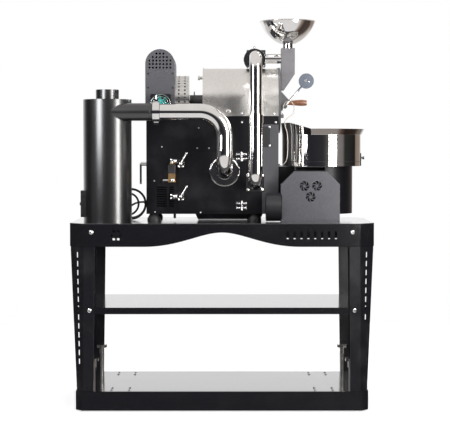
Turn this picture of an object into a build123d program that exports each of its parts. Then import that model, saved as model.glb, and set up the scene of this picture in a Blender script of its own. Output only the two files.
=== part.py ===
from build123d import *
from math import atan2, cos, degrees, hypot, pi, radians, sin, sqrt, tan
import os

# Home coffee bean roaster: a 1 kg class drum roaster on its own steel stand.
# Millimetres. +X right, -Y towards the user's side with the pipes, +Z up.
# The origin is on the floor, below the middle of the stand.

os.makedirs("parts", exist_ok=True)

# ---------------------------------------------------------------- driving sizes
# Fits
running_gap = 0.05
seat_gap = 0.2
moving_gap = 0.5
stand_off = 1.0

# Stand of folded sheet
stand_sheet = 2.0
table_width = 1160.0
table_depth = 500.0
table_height = 720.0
table_corner = 57.0
table_edge_radius = 2.5
apron_height = 88.0
arch_rise = 54.0
arch_half_width = 295.0
base_width = 1120.0
base_depth = 464.0
base_corner = 27.0
base_height = 79.0
base_clearance = 5.0
leg_inset = 4.0
leg_flange = 40.0
shelf_height = 400.0
shelf_lip = 25.0
leg_slot_length = 22.0
leg_slot_width = 8.0
leg_slot_pitch = 34.0
leg_slot_top = 600.0
leg_slots_left = 13
leg_slots_right = 8
apron_slot_length = 30.0
apron_slot_width = 9.0
apron_slot_pitch = 26.0
apron_slots = 8
apron_slot_x = 339.0
rosette_x = -400.0
rosette_radius = 17.0
rosette_hole = 5.0
rosette_count = 6

# Fasteners
dome_radius = 7.5
dome_height = 3.5
dome_shank_radius = 2.5
dome_shank_length = 8.0
apron_screw_x = 494.0
apron_screw_z = 687.0
leg_screw_x = 503.0
leg_screw_z = 389.0
small_screw_radius = 3.6
small_screw_height = 2.0

# Casters and jacks
caster_x = 390.0
caster_y = 178.0
caster_plate = (84.0, 62.0)
caster_plate_sheet = 3.0
caster_bolt_span = (68.0, 46.0)
caster_bolt_radius = 5.0
wheel_radius = 25.0
wheel_width = 20.0
wheel_lift = 1.5
caster_trail = 20.0
kingpin_radius = 5.0
axle_radius = 4.0
fork_sheet = 3.0
jack_x = 495.0
jack_y = 180.0
jack_rod_radius = 7.0
jack_rod_top = 163.0
jack_collar_radius = 11.0
jack_collar_height = 25.0
jack_knob_radius = 23.0
jack_knob_height = 11.0
jack_pad_radius = 22.0
jack_pad_height = 8.0
jack_nut_radius = 13.0
jack_nut_height = 10.0

# Machine body
body_sheet = 2.0
foot_height = 27.0
foot_radius = 26.0
foot_inset = 28.0
cabinet_left = -296.0
cabinet_seam = 157.0
cabinet_right = 221.0
cabinet_front = -50.0
cabinet_back = 210.0
cabinet_top = 1097.0
band_height = 33.0
louvre_rows = 9
louvre_pitch = 9.2
louvre_slot = 4.5
louvre_length = 41.0
louvre_x = -236.0
louvre_second_length = 20.0
louvre_second_x = -198.0
louvre_z = 815.0
gas_stub_x = -186.0
cover_plate_size = (31.0, 80.0)
cover_plate_z = 1049.0

# Access door
door_left = -172.0
door_right = 74.0
door_bottom = 759.0
door_top = 989.0
door_sheet = 2.5
door_margin = 22.0
hinge_x = 76.0
hinge_height = 36.0
hinge_leaf_width = 22.0
hinge_leaf_sheet = 2.0
hinge_barrel_radius = 4.0
hinge_pin_radius = 2.0
hinge_heights = (972.0, 779.6)
latch_x = -161.0
latch_heights = (944.0, 815.0)
latch_block = (24.0, 30.0, 10.0)
latch_arm_length = 46.0
latch_arm_angle = 60.0
latch_arm_radius = 3.2
latch_ball_radius = 5.0
latch_pivot_radius = 4.0
keeper_size = (30.0, 22.0, 7.0)
keeper_heights = (953.5, 815.0)

# Drum and its casing
drum_y = 80.0
drum_z = 1195.0
jacket_left = -76.0
jacket_right = 221.0
jacket_radius = 127.0
jacket_sheet = 2.5
flange_radius = 130.0
flange_thickness = 4.0
rail_height = 16.0
rail_proud = 3.0
drum_radius = 100.0
drum_sheet = 2.5
drum_end_gap = 8.0
drum_clearance = 6.0
shaft_radius = 10.0
vane_depth = 20.0
vane_count = 6
spider_offset = 120.0
faceplate_thickness = 10.0
faceplate_boss_radius = 26.0
faceplate_boss_length = 14.0
spout_half_width = 36.0
spout_sheet = 4.0
spout_reach = 36.0
spout_top = 1235.0
spout_bottom = 1147.0
inlet_size = (48.0, 40.0)
inlet_z = 1265.0

# Discharge door, its lever and counterweight
door_shaft_radius = 5.0
discharge_door_sheet = 3.0
lever_angle = 49.5
lever_length = 131.0
lever_radius = 3.75
lever_hub_radius = 10.0
lever_hub_width = 14.0
weight_radius = 30.0
weight_width = 15.0

# Trier
trier_y = 142.0
trier_z = 1188.0
trier_radius = 8.0
trier_reach = 70.0
trier_handle_start = 265.0
trier_handle_length = 78.0
trier_handle_radius = 12.5

# Rear drive
bearing_radius = 22.0
bearing_length = 52.0
bearing_flange_radius = 36.0
guard_radius = 98.0
guard_length = 54.0
guard_sheet = 1.5
guard_hole = 3.5
guard_hole_count = 40
motor_cover_left = -300.0
motor_cover_width = 115.0
motor_cover_front = -40.0
motor_cover_back = 167.0
motor_cover_top = 1391.0
vent_hole = 4.0
vent_pitch = 13.6
vent_rows = (7, 7, 7, 5, 3)
vent_bottom = 1319.0
sprocket_x = -200.0
sprocket_width = 6.0
drum_sprocket_radius = 45.0
motor_sprocket_radius = 20.0
chain_gap = 1.0
chain_thickness = 6.0
motor_z = 1290.0
motor_radius = 42.0
motor_shaft_radius = 6.0
fan_x = -239.0
fan_z = 1175.0
fan_size = 80.0
fan_depth = 25.0
fan_bore = 37.5
fan_hub_radius = 18.0
fan_blade_count = 7
fan_pin_radius = 2.5
finger_ring_radii = (12.0, 21.0, 30.0, 38.0)
finger_wire = 1.0

# Bean feed
chute_left = 236.0
chute_width = 53.5
chute_depth = 64.0
chute_top = 1402.0
chute_shoulder = 1299.0
chute_toe = 11.0
hopper_x = 262.5
hopper_rim_radius = 111.0
hopper_rim_z = 1508.0
hopper_neck_radius = 20.0
hopper_sheet = 1.5
hopper_neck_top = 1420.0
hopper_bead = 2.0
gate_sheet = 2.0
gate_drop = 14.0
gate_knob_radius = 6.0

# Damper and exhaust
damper_left = 98.0
damper_right = 172.0
damper_bottom = 1328.0
damper_top = 1392.0
damper_front = 24.0
damper_back = 110.0
exhaust_z = 1361.0
exhaust_radius = 19.25
exhaust_wall = 1.5
damper_flange_radius = 43.5
damper_flange_thickness = 4.0
damper_stem_radius = 2.0
damper_ball_radius = 4.5
damper_ball_z = 1407.0
damper_blade_radius = 22.0

# Pipes
pipe_y = -171.0
pipe_wall = 1.5
down_pipe_x = 129.0
upper_pipe_radius = 24.0
lower_pipe_radius = 27.0
upper_pipe_z = 1354.0
lower_pipe_z = 870.0
down_pipe_bend = 46.0
sleeve_radius = 29.5
sleeve_bottom = 1098.0
sleeve_height = 33.0
square_flange = 72.0
square_flange_span = 56.0
flange_sheet = 4.0
elbow_radius = 31.75
elbow_x = 10.0
elbow_top_z = 1142.0
elbow_bottom_z = 914.0
elbow_bend = 95.0
elbow_low_bend = 80.0
port_flange_radius = 58.5
wing_bolt_span = 102.0
clamp_right = -238.0
clamp_width = 26.0
clamp_radius = 41.0
clamp_groove = 36.5

# Cyclone
cyclone_x = -442.0
cyclone_y = -114.0
cyclone_radius = 93.0
cyclone_height = 471.0
cyclone_sheet = 2.0
outlet_radius = 44.5
outlet_height = 38.0
outlet_dip = 120.0
inlet_radius = 34.0
hatch_width = 96.0
hatch_bottom = 740.0
hatch_height = 102.0
hatch_reach = 97.0
hatch_sheet = 3.0
hatch_pin_radius = 2.5
hatch_knob = 4.0

# Cooling side
tray_x = 397.0
tray_y = 50.0
tray_radius = 157.0
tray_floor = 934.0
tray_wall_top = 1057.0
tray_rim = 1080.0
tray_rim_radius = 169.0
tray_sheet = 2.0
splash_top = 1104.0
splash_radius = 162.0
splash_end_x = 345.0
splash_crest_x = 264.0
perforated_rise = 16.0
agitator_hub_radius = 16.0
agitator_hub_height = 60.0
agitator_shaft_radius = 8.0
agitator_arms = 3
agitator_reach = 145.0
agitator_blade = (22.0, 3.0)
gate_angle = 16.0
gate_height = 50.0
tray_knob_radius = 6.0
plenum_radius = 122.0
plenum_height = 181.0
plenum_collar = (100.0, 90.0)
web_front = -20.0
web_sheet = 3.0
plenum_foot_spots = ((330.0, 50.0), (415.0, 0.0), (415.0, 100.0))
fan_box_left = 228.0
fan_box_right = 455.0
fan_box_front = -130.0
fan_box_back = -73.0
fan_box_height = 195.0
fan_box_corner = 50.0
pinwheel_radius = 19.0
pinwheel_hub = 4.0
pinwheel_vanes = 7
pinwheel_spots = ((318.0, 858.5), (366.5, 858.9), (342.0, 816.5))
blower_radius = 62.0
blower_width = 30.0
blower_vanes = 12
duct_radius = 55.0
duct_left = 170.0
duct_y = -105.3
duct_z = 777.0

# Side lever, gas valve
side_lever_y = -10.0
side_lever_z = 943.0
side_lever_reach = 24.0
side_lever_drop = 76.0
side_lever_radius = 4.0
valve_x = -196.0
valve_coil = (29.0, 26.0, 34.0)
valve_coil_z = 906.0
valve_body = (26.0, 24.0, 35.0)
nozzle_radius = 5.0
nozzle_left = -231.0
nozzle_z = 879.0
burner_z = 985.0
burner_radius = 11.0
burner_spacing = 62.0
burner_x = 70.0

# Probe lead and power cord
lead_radius = 2.0
lead_fitting = (11.0, 12.0, 14.0)
lead_fitting_radius = 4.0
lead_points = [
    (238.0, -20.0, 1137.0),
    (238.0, -20.0, 1157.0),
    (244.0, -23.0, 1180.0),
    (262.0, -25.0, 1193.0),
    (279.0, -27.0, 1181.0),
    (285.0, -30.0, 1158.0),
    (279.0, -33.0, 1136.0),
    (259.0, -37.0, 1124.0),
    (245.0, -40.0, 1111.0),
    (247.0, -42.0, 1092.0),
    (254.0, -43.0, 1070.0),
    (257.0, -43.0, 1044.0),
    (257.5, -43.0, 1017.0),
    (257.0, -43.0, 992.0),
    (255.5, -43.0, 969.0),
    (250.0, -42.5, 951.0),
    (240.0, -42.0, 939.0),
    (227.0, -42.0, 939.0),
]
cord_radius = 4.0
gland_radius = 9.0
gland_length = 24.0
gland_y = 190.0
gland_z = 785.0
cord_lead_points = [
    (-320.0, 190.0, 785.0),
    (-346.0, 190.0, 785.0),
    (-376.0, 189.0, 768.0),
    (-410.0, 188.0, 741.0),
    (-446.0, 184.0, 724.2),
    (-482.0, 166.0, 724.2),
    (-505.0, 134.0, 724.2),
    (-513.0, 94.0, 724.2),
    (-504.0, 54.0, 724.2),
    (-478.0, 22.0, 724.2),
    (-438.0, 7.0, 724.2),
    (-402.0, 5.0, 724.2),
    (-370.0, 5.0, 724.2),
]
coil_x = -362.0
coil_y = 5.0
coil_z = 784.2
coil_radius = 60.0
coil_pitch = 9.2
coil_end_radius = 58.0
coil_reaches = ((-60.0, 60.0), (-59.0, 31.0), (-54.0, 58.0))
cord_tail_points = [
    (-370.0, 32.6, 842.2),
    (-408.0, 32.6, 842.2),
    (-439.0, 32.4, 818.0),
    (-453.0, 33.0, 784.0),
    (-457.0, 40.0, 750.0),
    (-457.0, 58.0, 730.5),
    (-455.0, 84.0, 724.2),
    (-453.0, 108.0, 724.2),
]
plug_length = 38.0
plug_radius = 4.0
plug_width = 30.0
plug_height = 18.0
pin_radius = 2.4
pin_length = 18.0
pin_spacing = 19.0


# ---------------------------------------------------------------- small helpers
def block(x0, x1, y0, y1, z0, z1, mode=Mode.ADD):
    """A rectangular block between two corners."""
    with Locations(((x0 + x1) / 2, (y0 + y1) / 2, (z0 + z1) / 2)):
        Box(x1 - x0, y1 - y0, z1 - z0, mode=mode)


def bar(start, along, radius, length, mode=Mode.ADD):
    """A round bar that starts at a point and runs along +X, +Y or +Z."""
    turn = {"X": (0, 90, 0), "Y": (-90, 0, 0), "Z": (0, 0, 0)}[along]
    with Locations(start):
        Cylinder(radius, length, rotation=turn, align=(Align.CENTER, Align.CENTER, Align.MIN), mode=mode)


def facing_front(y):
    """A sketch plane at depth y whose sketches run X right and Z up, and extrude to the front."""
    return Plane.XZ.offset(-y)


def facing_right(x):
    """A sketch plane at x whose sketches run Y and Z up, and extrude to the right."""
    return Plane.YZ.offset(x)


def inner_corner(corner, wall):
    """The 45 degree corner cut of the inside of a wall of even thickness."""
    return corner - wall * (2 - sqrt(2))


def round_screws(spots, radius, height, shank_radius, shank_length):
    """Low domed screws on a list of planes, heads outwards."""
    with Locations(*[spot.location for spot in spots]):
        Cylinder(radius, height * 0.4, align=(Align.CENTER, Align.CENTER, Align.MIN))
        Cylinder(shank_radius, shank_length, align=(Align.CENTER, Align.CENTER, Align.MAX))
    with Locations(*[spot * Pos(0, 0, height * 0.4) for spot in spots]):
        Cone(radius, radius * 0.55, height * 0.6, align=(Align.CENTER, Align.CENTER, Align.MIN))


# ---------------------------------------------------------------- stand
apron_bottom = table_height - apron_height
table_underside = table_height - stand_sheet
leg_top = (table_width / 2 - stand_sheet, table_depth / 2 - stand_sheet, inner_corner(table_corner, stand_sheet))
leg_base = (base_width / 2 - leg_inset, base_depth / 2 - leg_inset, base_corner)


def leg_plan_at(z):
    """Half width, half depth and corner cut of the legs' outside at a height."""
    share = min(1.0, (z - base_height) / (apron_bottom - base_height))
    return tuple(low + (high - low) * share for low, high in zip(leg_base, leg_top))


def leg_points(half_width, half_depth, corner):
    """Plan of the bent leg at the right front corner, outside first and then inside."""
    bend = stand_sheet * tan(radians(22.5))
    outside = [
        (half_width - corner - leg_flange, -half_depth),
        (half_width - corner, -half_depth),
        (half_width, -half_depth + corner),
        (half_width, -half_depth + corner + leg_flange),
    ]
    inside = [
        (half_width - stand_sheet, -half_depth + corner + leg_flange),
        (half_width - stand_sheet, -half_depth + corner + bend),
        (half_width - corner - bend, -half_depth + stand_sheet),
        (half_width - corner - leg_flange, -half_depth + stand_sheet),
    ]
    return outside + inside


leg_lean = atan2(leg_top[1] - leg_base[1], apron_bottom - base_height)
leg_face_y = leg_plan_at(leg_screw_z)[1]
stand_screw_spots = []
for front in (-1, 1):
    for side in (-1, 1):
        stand_screw_spots.append(
            Plane((side * apron_screw_x, front * table_depth / 2, apron_screw_z), (1, 0, 0), (0, front, 0))
        )
        stand_screw_spots.append(
            Plane(
                (side * leg_screw_x, front * leg_face_y, leg_screw_z),
                (1, 0, 0),
                (0, front * cos(leg_lean), -sin(leg_lean)),
            )
        )
stand_screw_locations = [spot.location for spot in stand_screw_spots]
shank_hole_radius = dome_shank_radius + moving_gap
shank_hole_depth = 2 * dome_shank_length + 4

corner_signs = {
    "front_left": (-1, -1),
    "front_right": (1, -1),
    "rear_left": (-1, 1),
    "rear_right": (1, 1),
}
caster_centres = {name: (sx * caster_x, sy * caster_y) for name, (sx, sy) in corner_signs.items()}
jack_centres = {name: (sx * jack_x, sy * jack_y) for name, (sx, sy) in corner_signs.items()}
base_underside = base_height - stand_sheet

with BuildPart() as table_top:
    with BuildSketch(Plane.XY.offset(apron_bottom)) as outside:
        Rectangle(table_width, table_depth)
        chamfer(outside.vertices(), table_corner)
    extrude(amount=apron_height)
    top_edges = table_top.faces().sort_by(Axis.Z)[-1].edges()
    fillet(top_edges, table_edge_radius)
    with BuildSketch(Plane.XY.offset(apron_bottom)) as inside:
        Rectangle(table_width - 2 * stand_sheet, table_depth - 2 * stand_sheet)
        chamfer(inside.vertices(), inner_corner(table_corner, stand_sheet))
    extrude(amount=apron_height - stand_sheet, mode=Mode.SUBTRACT)
    with BuildSketch(Plane.XZ):
        with BuildLine():
            Spline(
                (-arch_half_width, apron_bottom),
                (0, apron_bottom + arch_rise),
                (arch_half_width, apron_bottom),
                tangents=[(1, 0), (1, 0)],
            )
            Line((arch_half_width, apron_bottom), (-arch_half_width, apron_bottom))
        make_face()
    extrude(amount=table_depth, both=True, mode=Mode.SUBTRACT)
    apron_middle = apron_bottom + apron_height / 2
    with BuildSketch(facing_front(-table_depth / 2 - stand_off)):
        with Locations((apron_slot_x, apron_middle)):
            with GridLocations(apron_slot_pitch, 0, apron_slots, 1):
                SlotOverall(apron_slot_length, apron_slot_width, rotation=90)
        with Locations((rosette_x, apron_middle)):
            with PolarLocations(rosette_radius, rosette_count):
                Circle(rosette_hole)
    extrude(amount=-stand_sheet - 2 * stand_off, mode=Mode.SUBTRACT)
    with Locations(*stand_screw_locations):
        Cylinder(shank_hole_radius, shank_hole_depth, mode=Mode.SUBTRACT)
table_top.part.label = "table_top"
export_step(table_top.part, "parts/table_top.step")

with BuildPart() as legs:
    for level in (base_height, apron_bottom):
        with BuildSketch(Plane.XY.offset(level)):
            with BuildLine():
                Polyline(*leg_points(*leg_plan_at(level)), close=True)
            make_face()
    loft()
    with BuildSketch(Plane.XY.offset(apron_bottom)):
        with BuildLine():
            Polyline(*leg_points(*leg_top), close=True)
        make_face()
    extrude(amount=table_underside - apron_bottom)
    mirror(about=Plane.YZ)
    mirror(about=Plane.XZ)
    slot_plan = leg_plan_at(leg_slot_top)
    for side, count in ((-1, leg_slots_left), (1, leg_slots_right)):
        panel_x = side * (slot_plan[0] - slot_plan[2] / 2)
        panel_y = -slot_plan[1] + slot_plan[2] / 2
        with BuildSketch(Plane((panel_x, panel_y, 0), (1, side, 0), (side, -1, 0))):
            for slot in range(count):
                with Locations((0, leg_slot_top - slot * leg_slot_pitch)):
                    SlotOverall(leg_slot_length, leg_slot_width, rotation=90)
        extrude(amount=table_corner / 2, both=True, mode=Mode.SUBTRACT)
    with Locations(*stand_screw_locations):
        Cylinder(shank_hole_radius, shank_hole_depth, mode=Mode.SUBTRACT)
legs.part.label = "legs"
export_step(legs.part, "parts/legs.step")

shelf_bottom = shelf_height - shelf_lip
shelf_plan = leg_plan_at(shelf_bottom)
shelf_inset = stand_sheet + seat_gap
with BuildPart() as mid_shelf:
    with BuildSketch(Plane.XY.offset(shelf_bottom)) as outside:
        Rectangle(2 * (shelf_plan[0] - shelf_inset), 2 * (shelf_plan[1] - shelf_inset))
        chamfer(outside.vertices(), inner_corner(shelf_plan[2], shelf_inset))
    extrude(amount=shelf_lip)
    with BuildSketch(Plane.XY.offset(shelf_bottom)) as inside:
        lip_inset = shelf_inset + stand_sheet
        Rectangle(2 * (shelf_plan[0] - lip_inset), 2 * (shelf_plan[1] - lip_inset))
        chamfer(inside.vertices(), inner_corner(shelf_plan[2], lip_inset))
    extrude(amount=shelf_lip - stand_sheet, mode=Mode.SUBTRACT)
    with Locations(*stand_screw_locations):
        Cylinder(shank_hole_radius, shank_hole_depth, mode=Mode.SUBTRACT)
mid_shelf.part.label = "mid_shelf"
export_step(mid_shelf.part, "parts/mid_shelf.step")

caster_bolt_spots = [
    (x + dx * caster_bolt_span[0] / 2, y + dy * caster_bolt_span[1] / 2)
    for x, y in caster_centres.values()
    for dx in (-1, 1)
    for dy in (-1, 1)
]
bolt_hole_radius = caster_bolt_radius * 0.6
with BuildPart() as base_pan:
    with BuildSketch(Plane.XY.offset(base_clearance)) as outside:
        Rectangle(base_width, base_depth)
        chamfer(outside.vertices(), base_corner)
    extrude(amount=base_height - base_clearance)
    with BuildSketch(Plane.XY.offset(base_clearance)) as inside:
        Rectangle(base_width - 2 * stand_sheet, base_depth - 2 * stand_sheet)
        chamfer(inside.vertices(), inner_corner(base_corner, stand_sheet))
    extrude(amount=base_underside - base_clearance, mode=Mode.SUBTRACT)
    with BuildSketch(Plane.XY.offset(base_underside)):
        with Locations(*jack_centres.values()):
            RegularPolygon(jack_nut_radius, 6)
    extrude(amount=-jack_nut_height)
    for x, y in jack_centres.values():
        bar((x, y, 0), "Z", jack_rod_radius + running_gap, base_height + stand_off, Mode.SUBTRACT)
    for x, y in caster_bolt_spots:
        bar((x, y, 0), "Z", bolt_hole_radius, base_height + stand_off, Mode.SUBTRACT)
base_pan.part.label = "base_pan"
export_step(base_pan.part, "parts/base_pan.step")

bolt_shank = stand_sheet + caster_plate_sheet + 2 * stand_off
with BuildPart() as stand_screws:
    round_screws(stand_screw_spots, dome_radius, dome_height, dome_shank_radius, dome_shank_length)
    round_screws(
        [Plane((x, y, base_height)) for x, y in caster_bolt_spots],
        caster_bolt_radius,
        dome_height,
        bolt_hole_radius - seat_gap,
        bolt_shank,
    )
stand_screws.part.label = "stand_screws"
export_step(stand_screws.part, "parts/stand_screws.step")

# ---------------------------------------------------------------- casters
# Each caster hangs under the pan: a bolted plate with its kingpin, a fork that
# swivels on the kingpin and a wheel that turns on the fork's axle.
plate_underside = base_underside - caster_plate_sheet
wheel_z = wheel_lift + wheel_radius
fork_top = plate_underside - seat_gap
fork_race = 4.0
bridge_top = fork_top - fork_race
bridge_bottom = bridge_top - fork_sheet
pin_head_height = 3.0
pin_head_radius = 8.0
arm_inside = wheel_width / 2 + stand_off
with BuildPart() as caster_plates:
    for x, y in caster_centres.values():
        half_x = caster_plate[0] / 2
        half_y = caster_plate[1] / 2
        block(x - half_x, x + half_x, y - half_y, y + half_y, plate_underside, base_underside)
        pin_end = bridge_bottom - seat_gap
        bar((x, y, pin_end), "Z", kingpin_radius, plate_underside - pin_end)
        bar((x, y, pin_end - pin_head_height), "Z", pin_head_radius, pin_head_height)
    for x, y in caster_bolt_spots:
        bar((x, y, 0), "Z", bolt_hole_radius, base_height, Mode.SUBTRACT)
caster_plates.part.label = "caster_plates"
export_step(caster_plates.part, "parts/caster_plates.step")

for name, (x, y) in caster_centres.items():
    axle_x = x + caster_trail
    with BuildPart() as caster_fork:
        bar((x, y, bridge_top), "Z", 0.45 * caster_plate[1], fork_race)
        for side in (-1, 1):
            inner = y + side * arm_inside
            outer = inner + side * fork_sheet
            with BuildSketch(facing_front(max(inner, outer))):
                with BuildLine():
                    Polyline(
                        (x - kingpin_radius * 2, bridge_top),
                        (x + kingpin_radius * 3, bridge_top),
                        (axle_x + axle_radius * 2, wheel_z - axle_radius * 2),
                        (axle_x - axle_radius * 2, wheel_z - axle_radius * 2),
                        close=True,
                    )
                make_face()
            extrude(amount=fork_sheet)
        half = arm_inside + fork_sheet
        block(x - kingpin_radius * 2, x + kingpin_radius * 3, y - half, y + half, bridge_bottom, bridge_top)
        bar((x, y, bridge_bottom - stand_off), "Z", kingpin_radius + running_gap, wheel_radius, Mode.SUBTRACT)
        bar((axle_x, y - half, wheel_z), "Y", axle_radius, 2 * half)
    caster_fork.part.label = f"caster_fork_{name}"
    export_step(caster_fork.part, f"parts/caster_fork_{name}.step")

    with BuildPart() as caster_wheel:
        bar((axle_x, y - wheel_width / 2, wheel_z), "Y", wheel_radius, wheel_width)
        fillet(caster_wheel.edges().filter_by(GeomType.CIRCLE), wheel_width * 0.15)
        bar((axle_x, y - wheel_width, wheel_z), "Y", axle_radius + running_gap, 2 * wheel_width, Mode.SUBTRACT)
    caster_wheel.part.label = f"caster_wheel_{name}"
    export_step(caster_wheel.part, f"parts/caster_wheel_{name}.step")

# ---------------------------------------------------------------- levelling jacks
for name, (x, y) in jack_centres.items():
    with BuildPart() as jack:
        bar((x, y, 0), "Z", jack_pad_radius, jack_pad_height)
        bar((x, y, jack_pad_height), "Z", jack_rod_radius, jack_rod_top - jack_pad_height)
        bar((x, y, jack_rod_top), "Z", jack_collar_radius, jack_collar_height)
        knob_z = jack_rod_top + jack_collar_height
        bar((x, y, knob_z), "Z", jack_knob_radius, jack_knob_height)
        with Locations((x, y, knob_z)):
            with PolarLocations(jack_knob_radius * 1.2, 6):
                Cylinder(
                    jack_knob_radius * 0.35,
                    jack_knob_height * 3,
                    mode=Mode.SUBTRACT,
                )
    jack.part.label = f"jack_{name}"
    export_step(jack.part, f"parts/jack_{name}.step")

# ---------------------------------------------------------------- cabinet
cabinet_bottom = table_height + foot_height
band_top = cabinet_top + band_height
cabinet_depth_middle = (cabinet_front + cabinet_back) / 2
door_opening = (door_left + door_margin, door_right - door_margin, door_bottom + door_margin, door_top - door_margin)
drum_hole_left = jacket_left + 2 * flange_thickness
drum_hole_right = jacket_right - 2 * flange_thickness
drum_hole_radius = drum_radius + drum_clearance
drum_hole_front = drum_y - drum_hole_radius
drum_hole_back = drum_y + drum_hole_radius
square_flange_z = lower_pipe_z
with BuildPart() as cabinet:
    block(cabinet_left, cabinet_seam, cabinet_front, cabinet_back, cabinet_bottom, cabinet_top)
    block(cabinet_left, cabinet_right, cabinet_front, cabinet_back, cabinet_top, band_top)
    block(
        cabinet_left + body_sheet,
        cabinet_seam - body_sheet,
        cabinet_front + body_sheet,
        cabinet_back - body_sheet,
        cabinet_bottom + body_sheet,
        cabinet_top,
        Mode.SUBTRACT,
    )
    block(
        cabinet_left + body_sheet,
        cabinet_right - body_sheet,
        cabinet_front + body_sheet,
        cabinet_back - body_sheet,
        cabinet_top,
        band_top - body_sheet,
        Mode.SUBTRACT,
    )
    block(
        drum_hole_left,
        drum_hole_right,
        drum_hole_front,
        drum_hole_back,
        cabinet_top,
        band_top + stand_off,
        Mode.SUBTRACT,
    )
    drum_hole_length = drum_hole_right - drum_hole_left
    bar((drum_hole_left, drum_y, drum_z), "X", drum_hole_radius, drum_hole_length, Mode.SUBTRACT)
    with BuildSketch(facing_front(cabinet_front - stand_off)):
        left, right, low, high = door_opening
        with Locations(((left + right) / 2, (low + high) / 2)):
            Rectangle(right - left, high - low)
        for row in range(louvre_rows):
            row_z = louvre_z + (row - (louvre_rows - 1) / 2) * louvre_pitch
            with Locations((louvre_x, row_z)):
                SlotOverall(louvre_length, louvre_slot)
            with Locations((louvre_second_x, row_z)):
                SlotOverall(louvre_second_length, louvre_slot)
        with Locations((down_pipe_x, square_flange_z)):
            Circle(lower_pipe_radius - pipe_wall)
    extrude(amount=-body_sheet - 2 * stand_off, mode=Mode.SUBTRACT)
    bar((gas_stub_x, cabinet_front + foot_inset, cabinet_bottom - 18), "Z", 5, 18)
    with Locations((cabinet_left, gland_y, gland_z)):
        Cone(
            gland_radius,
            cord_radius + body_sheet,
            gland_length,
            rotation=(0, -90, 0),
            align=(Align.CENTER, Align.CENTER, Align.MIN),
        )
cabinet.part.label = "cabinet"
export_step(cabinet.part, "parts/cabinet.step")

with BuildPart() as front_frame:
    frame_left = cabinet_seam + seat_gap
    frame_top = cabinet_top - seat_gap
    block(frame_left, cabinet_right, cabinet_front, cabinet_back, cabinet_bottom, frame_top)
    block(
        frame_left + body_sheet,
        cabinet_right - body_sheet,
        cabinet_front + body_sheet,
        cabinet_back - body_sheet,
        cabinet_bottom - stand_off,
        frame_top - body_sheet,
        Mode.SUBTRACT,
    )
    bar((drum_hole_left, drum_y, drum_z), "X", drum_hole_radius, drum_hole_length, Mode.SUBTRACT)
    plate_x = cabinet_seam + cover_plate_size[0] / 2 + seat_gap
    with BuildSketch(facing_front(cabinet_front)):
        with Locations((plate_x, cover_plate_z)):
            RectangleRounded(cover_plate_size[0], cover_plate_size[1], 2)
    extrude(amount=body_sheet)
    lead_end = lead_points[-1]
    bar((cabinet_right, lead_end[1], lead_end[2]), "X", lead_fitting_radius, lead_end[0] - cabinet_right)
front_frame.part.label = "front_frame"
export_step(front_frame.part, "parts/front_frame.step")

with BuildPart() as burner:
    inner_front = cabinet_front + body_sheet + seat_gap
    inner_back = cabinet_back - body_sheet - seat_gap
    tube_spots = [burner_x + (n - 1) * burner_spacing for n in range(3)]
    for x in tube_spots:
        bar((x, inner_front, burner_z), "Y", burner_radius, inner_back - inner_front)
        bar(
            (x, inner_front + body_sheet, burner_z),
            "Y",
            burner_radius - body_sheet,
            inner_back - inner_front - 2 * body_sheet,
            Mode.SUBTRACT,
        )
    bar((tube_spots[0], cabinet_depth_middle, burner_z - burner_radius), "X", burner_radius * 0.7, 2 * burner_spacing)
    with BuildSketch(Plane.XY.offset(burner_z)):
        for x in tube_spots:
            with Locations((x, cabinet_depth_middle)):
                with GridLocations(0, 14, 1, 14):
                    Circle(2)
    extrude(amount=burner_radius + stand_off, mode=Mode.SUBTRACT)
burner.part.label = "burner"
export_step(burner.part, "parts/burner.step")

foot_spots = [
    (x, y)
    for x in (cabinet_left + foot_inset, cabinet_seam - foot_inset)
    for y in (cabinet_front + foot_inset, cabinet_back - foot_inset)
]
with BuildPart() as rubber_feet:
    for x, y in foot_spots + list(plenum_foot_spots):
        with BuildSketch(Plane.XZ.offset(-y)):
            with BuildLine():
                Polyline(
                    (x, table_height),
                    (x + foot_radius, table_height),
                    (x + foot_radius, table_height + foot_height * 0.3),
                    (x + foot_radius * 0.6, table_height + foot_height),
                    (x, table_height + foot_height),
                    close=True,
                )
            make_face()
        revolve(axis=Axis((x, y, 0), (0, 0, 1)))
rubber_feet.part.label = "rubber_feet"
export_step(rubber_feet.part, "parts/rubber_feet.step")

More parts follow.
